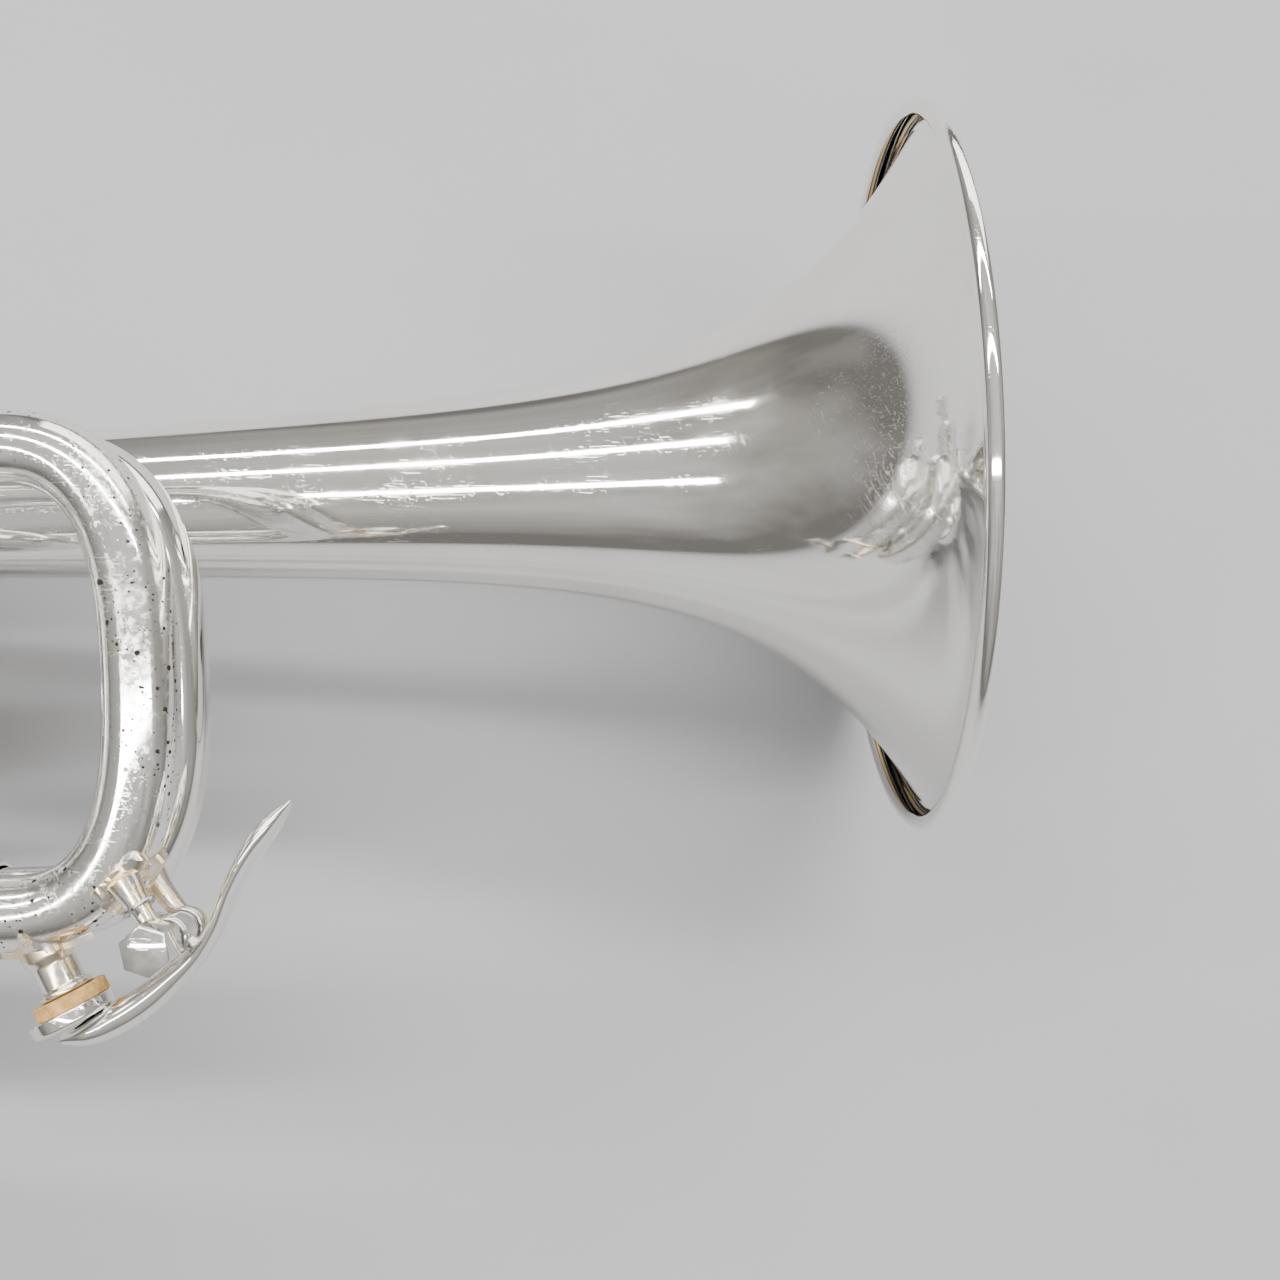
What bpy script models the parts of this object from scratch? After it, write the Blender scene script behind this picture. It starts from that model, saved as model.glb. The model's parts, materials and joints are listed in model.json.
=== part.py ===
"""A B flat cornet laid on its left side, every tube, valve, slide and fitting a solid of its own.

The pieces are built in the instrument's own straight frame: X runs forward along the bell's axis with
the mouth of the bell at zero, Y runs up towards the finger buttons, and Z runs to the player's right.
The empty that carries them then lays the instrument down on its bell rim, its rear bow and a bottom
cap, so that +Z is up and the table is at zero.
"""

import math

import bmesh
import bpy
from mathutils import Matrix, Vector

MM = 0.001
GAP = 0.3 * MM

# Bell
RIM_RADIUS = 60 * MM
BEAD_RADIUS = 1.45 * MM
SHEET = 0.5 * MM
BELL_LENGTH = 321.7 * MM
BELL_SIDES = 26

# The two front bows, squarish loops side by side
BOW_START_X = -133.3 * MM
BOW_REACH = 19.2 * MM
BOW_HALF_HEIGHT = 31.3 * MM
BOW_MIDDLE_Y = -28.8 * MM
BOW_SQUARENESS = 2.65
BOW_STEPS = 12
NEAR_Z = 48 * MM
FAR_Z = 36 * MM
FAR_DROP = 0.8 * MM
NEAR_JOINT_X = -141.5 * MM
FAR_JOINT_X = -144 * MM
LEAD_RADIUS = 5.1 * MM
TUBE_WALL = 0.6 * MM
TUBE_SIDES = 10

# Valves
VALVE_Z = 20.5 * MM
THIRD_VALVE_X = -244 * MM
VALVE_SPACING = 24 * MM
CASING_RADIUS = 9.2 * MM
CASING_BORE = 8.6 * MM
HEAD_RADIUS = 9.7 * MM
HEAD_BORE = 9.1 * MM
HEAD_FOOT = 7 * MM
CASING_BOTTOM = -87 * MM
CASING_TOP = 38 * MM
PISTON_RADIUS = 8.3 * MM
PISTON_BOTTOM = -68 * MM
BARREL_FLOOR = 6 * MM
BARREL_TOP = 36 * MM
BARREL_BORE = 7 * MM
STROKE = 16.5 * MM
GUIDE_Y = 8.3 * MM
GUIDE_THICK = 1.6 * MM
BUTTON_RADIUS = 7 * MM
CAP_RADIUS = 10.6 * MM
CAP_TOP = 44 * MM
FELT = 1.5 * MM
STEM_RADIUS = 2.3 * MM
CASING_SIDES = 14
FERRULE_SIDES = 12

# Heights of the ports, and the bore of every passage
MAIN_PORT_Y = BOW_MIDDLE_Y - BOW_HALF_HEIGHT - FAR_DROP
BELL_PORT_Y = -60 * MM
KNUCKLE_Y = -50 * MM
SLIDE_PORTS_Y = (-18 * MM, -44 * MM)
PORT_RADIUS = 4.7 * MM
PASSAGE_RADIUS = 4.1 * MM
ENTRY_ANGLE = math.radians(35)
FIRST_SLIDE_ANGLE = math.radians(168)

# Slides: fixed sleeves, and inner legs that run in them
SLEEVE_RADIUS = 6.2 * MM
SLEEVE_BORE = 5.75 * MM
STAY_REACH = SLEEVE_BORE + 0.1 * MM
BEAD_RISE = 0.35 * MM
LEG_RADIUS = 5.35 * MM
LEG_BORE = 4.75 * MM
CROOK_RADIUS = 5.7 * MM
THIRD_RING_RADIUS = 11 * MM
KNOB = (
    (0, 0),
    (0, 2.4 * MM),
    (1.4 * MM, 1.3 * MM),
    (3.4 * MM, 1.5 * MM),
    (4.9 * MM, 3 * MM),
    (6.4 * MM, 2 * MM),
    (6.4 * MM, 0),
)
COLLAR_LENGTH = 4 * MM
CROOK_STEPS = 6
TUNING_SLEEVE_X = (-149 * MM, -197 * MM)
SLEEVE_LENGTHS = (56 * MM, 18 * MM, 71 * MM)

# Rear end
REAR_BOW_RADIUS = 6.3 * MM
REAR_BOW_X = -322 * MM
RECEIVER_END_X = -412 * MM
RECEIVER_FRONT_X = -372 * MM
REAR_BRACE_X = -308 * MM
FRONT_BRACE_X = -190 * MM
HOOK_X = -225 * MM

# Water key
HINGE_X = -110.7 * MM
HINGE_Y = -63.4 * MM
SADDLE_ROOT = (-118.9 * MM, -53.7 * MM)
EAR_INNER = 4.6 * MM
EAR_OUTER = 5.9 * MM
PIN_RADIUS = 1.2 * MM
HEX_FLATS = 6.1 * MM
SPRING_ANGLE = 140
LEVER_POINTS = ((-123.4, -76.2), (-110.4, -70.4), (-103.4, -58.4), (-94.8, -46.8))
DRAIN_RADIUS = 1.5 * MM
NIPPLE_ANGLE = math.radians(-65.5)
NIPPLE_FOOT = (-130.2 * MM, -60.1 * MM)
CORK_FACE = 11.8 * MM
CORK_THICKNESS = 1.9 * MM
CORK_RADIUS = 5.1 * MM
CUP_RADIUS = 5.6 * MM

LEAD_Y = BOW_MIDDLE_Y + BOW_HALF_HEIGHT
VALVES_X = tuple(THIRD_VALVE_X - VALVE_SPACING * i for i in (2, 1, 0))
FORWARD = Vector((1, 0, 0))
UP = Vector((0, 1, 0))
RIGHT = Vector((0, 0, 1))

SILVER = ("silver plate", (0.86, 0.85, 0.82), 0.12, 1.0)
BRASS = ("brass", (0.80, 0.62, 0.33), 0.25, 1.0)
STEEL = ("spring steel", (0.55, 0.56, 0.58), 0.3, 1.0)
MONEL = ("nickel alloy", (0.62, 0.60, 0.57), 0.25, 1.0)
PEARL = ("mother of pearl", (0.92, 0.91, 0.88), 0.2, 0.0)
FELT_CLOTH = ("felt", (0.75, 0.73, 0.68), 0.95, 0.0)
CORK = ("cork", (0.78, 0.58, 0.34), 0.85, 0.0)


def clear_scene():
    for obj in list(bpy.data.objects):
        bpy.data.objects.remove(obj, do_unlink=True)


def material_of(look):
    name, colour, roughness, metallic = look
    found = bpy.data.materials.get(name)
    if found:
        return found
    made = bpy.data.materials.new(name)
    made.use_nodes = True
    shader = made.node_tree.nodes["Principled BSDF"]
    shader.inputs["Base Color"].default_value = (*colour, 1.0)
    shader.inputs["Roughness"].default_value = roughness
    shader.inputs["Metallic"].default_value = metallic
    return made


def point(x, y, z):
    """A point given in millimetres."""
    return Vector((x, y, z)) * MM


def across(direction):
    """Two unit vectors square to a direction and to each other."""
    helper = RIGHT if abs(direction.dot(RIGHT)) < 0.9 else UP
    first = (helper - direction * helper.dot(direction)).normalized()
    return first, direction.cross(first)


def tangents(path):
    found = []
    for i in range(len(path)):
        before = path[max(i - 1, 0)]
        after = path[min(i + 1, len(path) - 1)]
        found.append((after - before).normalized())
    return found


def travelling_frames(path):
    """At each point the two directions square to the path, carried along it without twist."""
    directions = tangents(path)
    first, second = across(directions[0])
    frames = [(first, second)]
    for before, now in zip(directions, directions[1:]):
        turn = before.rotation_difference(now)
        first = turn @ first
        first = (first - now * first.dot(now)).normalized()
        frames.append((first, now.cross(first)))
    return frames


def ring(centre, frame, width, height, sides):
    """Points on an ellipse round a centre, turned by half a side so that flats face the axes."""
    first, second = frame
    points = []
    for i in range(sides):
        angle = 2 * math.pi * (i + 0.5) / sides
        points.append(centre + first * width * math.cos(angle) + second * height * math.sin(angle))
    return points


def add_loft(mesh, rings, closed):
    """Skins a row of rings. A ring of one point is a pole, and closed joins the last ring to the first."""
    rows = [[mesh.verts.new(co) for co in points] for points in rings]
    pairs = list(zip(rows, rows[1:]))
    if closed:
        pairs.append((rows[-1], rows[0]))
    for low, high in pairs:
        sides = max(len(low), len(high))
        for i in range(sides):
            j = (i + 1) % sides
            corners = [low[i % len(low)], low[j % len(low)], high[j % len(high)], high[i % len(high)]]
            mesh.faces.new(list(dict.fromkeys(corners)))
    if not closed:
        for row in (rows[0], rows[-1]):
            if len(row) > 2:
                mesh.faces.new(row)


def add_tube(mesh, path, outer, bore, start_casing=None, end_casing=None, start_at=CASING_RADIUS + GAP):
    """A hollow tube along a path. Radii are one number or one for each point of the path.
    An end that meets a valve casing is mitred to the casing's round wall."""
    sides = TUBE_SIDES
    outer = outer if isinstance(outer, (list, tuple)) else [outer] * len(path)
    bore = bore if isinstance(bore, (list, tuple)) else [bore] * len(path)
    frames = travelling_frames(path)
    outside = [ring(p, f, r, r, sides) for p, f, r in zip(path, frames, outer)]
    inside = [ring(p, f, r, r, sides) for p, f, r in zip(path, frames, bore)]
    directions = tangents(path)
    for skin in (outside, inside):
        if start_casing is not None:
            skin[0] = [mitred(p, -directions[0], start_casing, start_at) for p in skin[0]]
        if end_casing is not None:
            skin[-1] = [mitred(p, directions[-1], end_casing, CASING_RADIUS + GAP) for p in skin[-1]]
    add_loft(mesh, outside + inside[::-1], closed=True)


def mitred(corner, direction, valve_x, clearance):
    """Where the line from a corner along a direction comes this close to a valve's axis."""
    from_axis = Vector((corner.x - valve_x, 0, corner.z - VALVE_Z))
    flat = Vector((direction.x, 0, direction.z))
    a = flat.dot(flat)
    b = from_axis.dot(flat)
    c = from_axis.dot(from_axis) - clearance**2
    return corner + direction * ((-b - math.sqrt(b * b - a * c)) / a)


def add_rod(mesh, path, widths, heights=None, sides=TUBE_SIDES):
    """A solid rod along a path, round or oval."""
    widths = widths if isinstance(widths, (list, tuple)) else [widths] * len(path)
    heights = heights or widths
    frames = travelling_frames(path)
    rings = [ring(p, f, w, h, sides) for p, f, w, h in zip(path, frames, widths, heights)]
    add_loft(mesh, rings, closed=False)


def add_hoop(mesh, centre, axis, radius, wire, steps, sides):
    """A closed ring of round wire."""
    first, second = across(axis)
    rings = []
    for i in range(steps):
        angle = 2 * math.pi * (i + 0.5) / steps
        outward = first * math.cos(angle) + second * math.sin(angle)
        rings.append(ring(centre + outward * radius, (outward, axis), wire, wire, sides))
    add_loft(mesh, rings, closed=True)


def add_turned(mesh, outline, origin, axis, sides=CASING_SIDES):
    """A turned solid. The outline lists (distance along the axis, radius); one that starts and ends on
    the axis is solid, and any other closes on itself round a bore."""
    frame = across(axis)
    rings = []
    for along, radius in outline:
        centre = origin + axis * along
        rings.append([centre] if radius == 0 else ring(centre, frame, radius, radius, sides))
    add_loft(mesh, rings, closed=outline[0][1] > 0)


def finish(name, mesh, look, carrier, crease=40):
    """Makes the mesh an object that hangs on a carrier empty, with its own material."""
    for vertex in mesh.verts:
        vertex.co -= carrier["pivot"]
    bmesh.ops.recalc_face_normals(mesh, faces=mesh.faces)
    data = bpy.data.meshes.new(name)
    mesh.to_mesh(data)
    mesh.free()
    data.shade_smooth()
    data.set_sharp_from_angle(angle=math.radians(crease))
    data.materials.append(material_of(look))
    obj = bpy.data.objects.new(name, data)
    bpy.context.scene.collection.objects.link(obj)
    obj.parent = carrier["empty"]
    return obj


def combine(obj, operation, helper):
    """Unites, intersects or cuts an object with a helper that is then hidden."""
    helper.hide_render = True
    helper.display_type = "WIRE"
    modifier = obj.modifiers.new(helper.name, "BOOLEAN")
    modifier.operation = operation
    modifier.solver = "EXACT"
    modifier.object = helper


def add_block(mesh, centre, size, directions=(FORWARD, UP, RIGHT)):
    """A box of this size along three directions."""
    a, b, c = (direction * length / 2 for direction, length in zip(directions, size))
    around = ((-1, -1), (1, -1), (1, 1), (-1, 1))
    add_loft(mesh, [[centre + a * i + b * j + c * k for i, j in around] for k in (-1, 1)], closed=False)


def carrier(name, pivot, parent=None):
    """An empty at a body's joint, with the joint's place in the instrument's frame."""
    empty = bpy.data.objects.new(name, None)
    bpy.context.scene.collection.objects.link(empty)
    if parent:
        empty.parent = parent["empty"]
        empty.location = pivot - parent["pivot"]
    return {"empty": empty, "pivot": pivot}


# ---------------------------------------------------------------- bell


def bell_radius(back):
    """Outer radius of the bell at a distance back from its mouth: a long taper, a flare and a lip."""
    back = back / MM
    taper = 17.1 - 0.032 * back
    return (taper + 38.1 * math.exp(-back / 23) + 3.3 * math.exp(-back / 1.1)) * MM


def bell_wall(back, offset):
    """A point (back, radius) on the sheet, offset inwards square to it."""
    step = 0.05 * MM
    slope = (bell_radius(back + step) - bell_radius(back)) / step
    length = math.hypot(1, slope)
    return back + offset * slope / length, bell_radius(back) - offset / length


def bead_arc(radius, start, end, steps):
    """Points round the rolled bead, from one angle to another, measured from straight out."""
    found = []
    for i in range(steps + 1):
        angle = math.radians(start + (end - start) * i / steps)
        back = BEAD_RADIUS - radius * math.sin(angle)
        found.append((back, RIM_RADIUS - BEAD_RADIUS + radius * math.cos(angle)))
    return found


def build_bell(body):
    first = 0.9 * MM
    backs = [first + (BELL_LENGTH - first) * (i / 10) ** 2.2 for i in range(11)]
    outside = [bell_wall(back, 0) for back in backs[::-1]]
    inside = [bell_wall(back, SHEET) for back in backs]
    curl_out = bead_arc(BEAD_RADIUS, -150, 125, 6)
    curl_in = bead_arc(BEAD_RADIUS - SHEET, 125, -150, 4)
    outline = outside + curl_in + curl_out + inside
    mesh = bmesh.new()
    add_turned(mesh, outline, Vector(), -FORWARD, BELL_SIDES)
    finish("bell", mesh, SILVER, body)


def build_rim_wire(body):
    mesh = bmesh.new()
    centre = -FORWARD * BEAD_RADIUS
    add_hoop(mesh, centre, FORWARD, RIM_RADIUS - BEAD_RADIUS, 0.55 * MM, BELL_SIDES, 4)
    finish("rim_wire", mesh, STEEL, body)


def half_turn(centre, out, side, steps):
    """Points of a half circle from centre + side round past centre + out to centre - side."""
    found = []
    for i in range(steps + 1):
        angle = math.pi * i / steps
        found.append(centre + side * math.cos(angle) + out * side.length * math.sin(angle))
    return found


def rear_bow_path():
    """From the bell's tail, round and forward again to the first valve."""
    top = Vector((REAR_BOW_X, 0, 0))
    bottom = Vector((REAR_BOW_X, BELL_PORT_Y, VALVE_Z))
    middle = (top + bottom) / 2 - FORWARD * 5 * MM
    curve = half_turn(middle, -FORWARD, (top - bottom) / 2, 9)
    return [top] + curve + [Vector((VALVES_X[0] - CASING_RADIUS - 2 * MM, BELL_PORT_Y, VALVE_Z))]


def build_rear_bow(body):
    path = rear_bow_path()
    tail = bell_radius(-REAR_BOW_X)
    outer = [tail + (REAR_BOW_RADIUS - tail) * i / (len(path) - 1) for i in range(len(path))]
    bore = [radius - TUBE_WALL for radius in outer]
    mesh = bmesh.new()
    add_tube(mesh, path, outer, bore, end_casing=VALVES_X[0])
    finish("bell_bow", mesh, SILVER, body)


def ferrule_outline(length, bore, radius):
    """A joint ring with a raised bead round each end."""
    half = length / 2
    bead = 0.5 * MM
    band = 1.6 * MM
    return [
        (-half, bore),
        (-half, radius + bead),
        (-half + band, radius + bead),
        (-half + band, radius),
        (half - band, radius),
        (half - band, radius + bead),
        (half, radius + bead),
        (half, bore),
    ]


def build_bell_ferrule(body):
    mesh = bmesh.new()
    bore = bell_radius(-REAR_BOW_X - 6 * MM) + GAP
    outline = ferrule_outline(8 * MM, bore, bore + 0.5 * MM)
    add_turned(mesh, outline, Vector((REAR_BOW_X, 0, 0)), FORWARD, FERRULE_SIDES)
    finish("bell_ferrule", mesh, SILVER, body)


# ---------------------------------------------------------------- lead pipe and front bows


def bow_curve(z, drop):
    """The squarish loop of a front bow, from its upper arm to its lower one."""
    found = []
    for i in range(BOW_STEPS + 1):
        angle = math.pi / 2 - math.pi * i / BOW_STEPS
        reach = abs(math.cos(angle)) ** (2 / BOW_SQUARENESS)
        height = math.copysign(abs(math.sin(angle)) ** (2 / BOW_SQUARENESS), angle)
        y = BOW_MIDDLE_Y - drop + BOW_HALF_HEIGHT * height
        found.append(Vector((BOW_START_X + BOW_REACH * reach, y, z)))
    return found


def build_bow(name, z, drop, arm_ends, body):
    curve = bow_curve(z, drop)
    start = Vector((arm_ends[0], curve[0].y, z))
    end = Vector((arm_ends[1], curve[-1].y, z))
    mesh = bmesh.new()
    add_tube(mesh, [start] + curve + [end], LEAD_RADIUS, LEAD_RADIUS - TUBE_WALL)
    return finish(name, mesh, SILVER, body)


def build_bows(body):
    """The near bow takes the air down to the tuning slide, and the far one takes it on to the valves."""
    in_sleeve = TUNING_SLEEVE_X[0] - 4 * MM
    near = build_bow("near_bow", NEAR_Z, 0, (NEAR_JOINT_X, in_sleeve), body)
    build_bow("far_bow", FAR_Z, FAR_DROP, (in_sleeve, FAR_JOINT_X), body)
    foot, axis = nipple_frame()
    mesh = bmesh.new()
    add_rod(mesh, [foot + axis * 2 * MM, foot + axis * 9 * MM], DRAIN_RADIUS, sides=8)
    combine(near, "DIFFERENCE", finish("drain_hole", mesh, SILVER, body))


def build_bow_ferrule(name, x, y, z, body):
    """The ring that joins a bow's arm to the tube behind it."""
    mesh = bmesh.new()
    bore = LEAD_RADIUS + GAP
    outline = ferrule_outline(9 * MM, bore, bore + 0.3 * MM)
    add_turned(mesh, outline, Vector((x, y, z)), FORWARD, FERRULE_SIDES)
    finish(name, mesh, SILVER, body)


def build_leadpipe(body):
    mesh = bmesh.new()
    front = Vector((NEAR_JOINT_X - GAP, LEAD_Y, NEAR_Z))
    rear = Vector((RECEIVER_FRONT_X - 12 * MM, LEAD_Y, NEAR_Z))
    add_tube(mesh, [front, rear], LEAD_RADIUS, [LEAD_RADIUS - TUBE_WALL, LEAD_RADIUS - 0.8 * MM])
    finish("leadpipe", mesh, SILVER, body)


def build_receiver(body):
    """The socket at the player's end, bored for the lead pipe in front and tapered for the shank."""
    length = RECEIVER_FRONT_X - RECEIVER_END_X
    step = 13 * MM
    outline = [
        (0, LEAD_RADIUS + GAP),
        (0, 6.3 * MM),
        (3 * MM, 6.3 * MM),
        (3 * MM, 5.9 * MM),
        (length - 8 * MM, 6.3 * MM),
        (length - 8 * MM, 7.2 * MM),
        (length, 7.2 * MM),
        (length, 5.1 * MM),
        (step, 4.65 * MM),
        (step, LEAD_RADIUS + GAP),
    ]
    mesh = bmesh.new()
    add_turned(mesh, outline, Vector((RECEIVER_FRONT_X, LEAD_Y, NEAR_Z)), -FORWARD)
    finish("mouthpiece_receiver", mesh, SILVER, body)


def build_mouthpiece(body):
    """Shank, backbore, cup and rim. Distances run back from the tip of the shank."""
    outline = [
        (0, 3.7 * MM),
        (0, 4.25 * MM),
        (23 * MM, 4.7 * MM),
        (32 * MM, 5.2 * MM),
        (38 * MM, 5.4 * MM),
        (41 * MM, 6.6 * MM),
        (45 * MM, 9.2 * MM),
        (52 * MM, 10.8 * MM),
        (59 * MM, 12.2 * MM),
        (62.5 * MM, 13.6 * MM),
        (65 * MM, 12.9 * MM),
        (66 * MM, 11 * MM),
        (65.2 * MM, 9 * MM),
        (62 * MM, 8.1 * MM),
        (56 * MM, 7 * MM),
        (51 * MM, 4.6 * MM),
        (48 * MM, 1.9 * MM),
        (42 * MM, 1.9 * MM),
    ]
    mesh = bmesh.new()
    add_turned(mesh, outline, body["pivot"], -FORWARD, 16)
    finish("mouthpiece", mesh, SILVER, body)


def build_entry_tube(body):
    """Runs back from the far bow's lower arm and bends in to the third valve."""
    start = Vector((FAR_JOINT_X - GAP, MAIN_PORT_Y, FAR_Z))
    inward = Vector((math.cos(ENTRY_ANGLE), 0, math.sin(ENTRY_ANGLE)))
    corner_x = THIRD_VALVE_X + (FAR_Z - VALVE_Z) / math.tan(ENTRY_ANGLE)
    corner = Vector((corner_x, MAIN_PORT_Y, FAR_Z))
    bend = 7 * MM
    path = [start]
    for i in range(5):
        along = i / 4
        before = corner + FORWARD * bend * (1 - along)
        after = corner - inward * bend * along
        path.append(before.lerp(after, along))
    path.append(corner - inward * (bend + 1 * MM))
    mesh = bmesh.new()
    add_tube(mesh, path, LEAD_RADIUS, LEAD_RADIUS - TUBE_WALL, end_casing=THIRD_VALVE_X)
    finish("valve_entry_tube", mesh, SILVER, body)


# ---------------------------------------------------------------- slides


def add_sleeve(mesh, start, direction, length, casing_x=None):
    """A slide's outer tube, with a raised bead round its open end."""
    bead = 2 * MM
    path = [start + direction * along for along in (0, length - bead, length - bead + 0.1 * MM, length)]
    outer = [SLEEVE_RADIUS, SLEEVE_RADIUS, SLEEVE_RADIUS + BEAD_RISE, SLEEVE_RADIUS + BEAD_RISE]
    add_tube(mesh, path, outer, SLEEVE_BORE, start_casing=casing_x)


def add_slide_crook(mesh, tops, direction, leg_start, collar):
    """Two inner legs, their stop collars and the half turn that joins them, one bent tube.
    The legs start and the collars stand at distances along the direction from the two tops."""
    upper, lower = tops
    bend_start = collar + COLLAR_LENGTH
    middle = (upper + lower) / 2 + direction * bend_start
    turn = half_turn(middle, direction, (upper - lower) / 2, CROOK_STEPS)
    tiny = 0.1 * MM
    stations = (leg_start, collar, collar + tiny, bend_start - tiny)
    radii = [LEG_RADIUS, LEG_RADIUS, SLEEVE_RADIUS, SLEEVE_RADIUS]
    path = [upper + direction * along for along in stations] + turn
    path += [lower + direction * along for along in stations[::-1]]
    outer = radii + [CROOK_RADIUS] * len(turn) + radii[::-1]
    add_tube(mesh, path, outer, LEG_BORE)


def slide_direction(number):
    """Which way each valve's slide points: back and a little out, straight out, and forward."""
    if number == 1:
        return Vector((math.cos(FIRST_SLIDE_ANGLE), 0, math.sin(FIRST_SLIDE_ANGLE)))
    return RIGHT if number == 2 else FORWARD


def slide_tops(number):
    """The points on the valve's axis that the two legs of its slide point at."""
    return [Vector((VALVES_X[number - 1], y, VALVE_Z)) for y in SLIDE_PORTS_Y]


def turned_piece(name, outline, origin, axis, sides, body):
    mesh = bmesh.new()
    add_turned(mesh, outline, origin, axis, sides)
    return finish(name, mesh, SILVER, body)


def build_valve_slide(number, name, fixed, moving):
    """Two sleeves with a stay between them on a valve casing, and the crook that slides in them."""
    tops = slide_tops(number)
    direction = slide_direction(number)
    sleeve_end = SLEEVE_LENGTHS[number - 1]
    foot = CASING_RADIUS + 1 * MM
    pieces = []
    for part, top in zip(("upper", "lower"), tops):
        mesh = bmesh.new()
        add_sleeve(mesh, top + direction * foot, direction, sleeve_end - foot, VALVES_X[number - 1])
        pieces.append(finish(f"{name}_{part}_sleeve", mesh, SILVER, fixed))
    stay = bmesh.new()
    reach = (tops[0] - tops[1]).length / 2 - STAY_REACH * math.cos(math.pi / TUBE_SIDES)
    middle = (tops[0] + tops[1]) / 2 + direction * (sleeve_end - 5 * MM)
    add_rod(stay, [middle - UP * reach, middle + UP * reach], 1.3 * MM, sides=8)
    combine(pieces[0], "UNION", finish(name + "_stay", stay, SILVER, fixed))
    combine(pieces[0], "UNION", pieces[1])
    pieces[0].name = name + "_sleeves"
    mesh = bmesh.new()
    add_slide_crook(mesh, tops, direction, CASING_RADIUS + 1.5 * MM, sleeve_end + GAP)
    crook = finish(name + "_crook", mesh, SILVER, moving)
    if number == 3:
        build_third_ring(moving)
        return
    middle = (tops[0] + tops[1]) / 2
    reach = sleeve_end + GAP + COLLAR_LENGTH + (tops[0] - tops[1]).length / 2 + CROOK_RADIUS - 0.4 * MM
    knob = turned_piece(name + "_knob", KNOB, middle + direction * reach, direction, 12, moving)
    combine(crook, "UNION", knob)


def build_third_ring(body):
    """The finger ring on its little foot, on top of the third slide's upper leg."""
    foot_y = SLIDE_PORTS_Y[0] + SLEEVE_RADIUS + GAP
    x = VALVES_X[2] + SLEEVE_LENGTHS[2] + GAP + COLLAR_LENGTH / 2
    foot = Vector((x, foot_y, VALVE_Z))
    mesh = bmesh.new()
    add_hoop(mesh, foot + UP * (THIRD_RING_RADIUS + 2 * MM), RIGHT, THIRD_RING_RADIUS, 1.5 * MM, 18, 6)
    ring_piece = finish("third_slide_ring", mesh, SILVER, body)
    outline = [(0, 0), (0, 1.9 * MM), (1.3 * MM, 1.2 * MM), (1.3 * MM, 0)]
    combine(ring_piece, "UNION", turned_piece("third_slide_ring_foot", outline, foot, UP, 10, body))


def tuning_tops():
    upper = Vector((0, LEAD_Y - FAR_DROP, FAR_Z))
    lower = Vector((0, BOW_MIDDLE_Y - BOW_HALF_HEIGHT, NEAR_Z))
    return upper, lower


def build_tuning_slide(fixed, moving):
    """Sleeves behind the near bow's lower arm and the far bow's upper one, and the crook between them."""
    front, rear = TUNING_SLEEVE_X
    length = front - rear
    shoulder = 4.5 * MM
    neck = LEAD_RADIUS + GAP
    for name, top in zip(("tuning_sleeve_upper", "tuning_sleeve_lower"), tuning_tops()):
        tiny = 0.1 * MM
        band = 2 * MM
        stations = (0, band, band + tiny, shoulder, shoulder + tiny, length - band, length - band + tiny, length)
        path = [top + FORWARD * (front - along) for along in stations]
        bead = SLEEVE_RADIUS + BEAD_RISE
        outer = [bead, bead] + [SLEEVE_RADIUS] * 4 + [bead, bead]
        mesh = bmesh.new()
        add_tube(mesh, path, outer, [neck] * 4 + [SLEEVE_BORE] * 4)
        finish(name, mesh, SILVER, fixed)
    mesh = bmesh.new()
    add_slide_crook(mesh, tuning_tops(), -FORWARD, 8 * MM - front, GAP - rear)
    finish("tuning_slide_crook", mesh, SILVER, moving)
    build_tuning_brace(moving)


def build_tuning_brace(body):
    """A turned rod between the two arms of the tuning crook."""
    upper, lower = tuning_tops()
    middle = (upper + lower) / 2 + FORWARD * (TUNING_SLEEVE_X[1] - GAP - COLLAR_LENGTH)
    side = (upper - lower) / 2
    reach = side.length - SLEEVE_RADIUS - 4 * GAP
    half = [
        (-reach, 0),
        (-reach, 3 * MM),
        (-reach + 1.5 * MM, 1.5 * MM),
        (-4 * MM, 1.3 * MM),
        (0, 2.2 * MM),
    ]
    outline = half + [(-along, radius) for along, radius in half[-2::-1]]
    turned_piece("tuning_slide_brace", outline, middle - FORWARD * 2 * MM, side.normalized(), 10, body)


# ---------------------------------------------------------------- valves


def through_ports(number):
    """Height and direction of the way in and the way out of a valve at rest."""
    entry = Vector((math.cos(ENTRY_ANGLE), 0, math.sin(ENTRY_ANGLE)))
    way_in = (MAIN_PORT_Y, entry) if number == 3 else (KNUCKLE_Y, FORWARD)
    way_out = (BELL_PORT_Y, -FORWARD) if number == 1 else (KNUCKLE_Y, -FORWARD)
    return way_in, way_out


def valve_foot(number):
    return Vector((VALVES_X[number - 1], 0, VALVE_Z))


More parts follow.
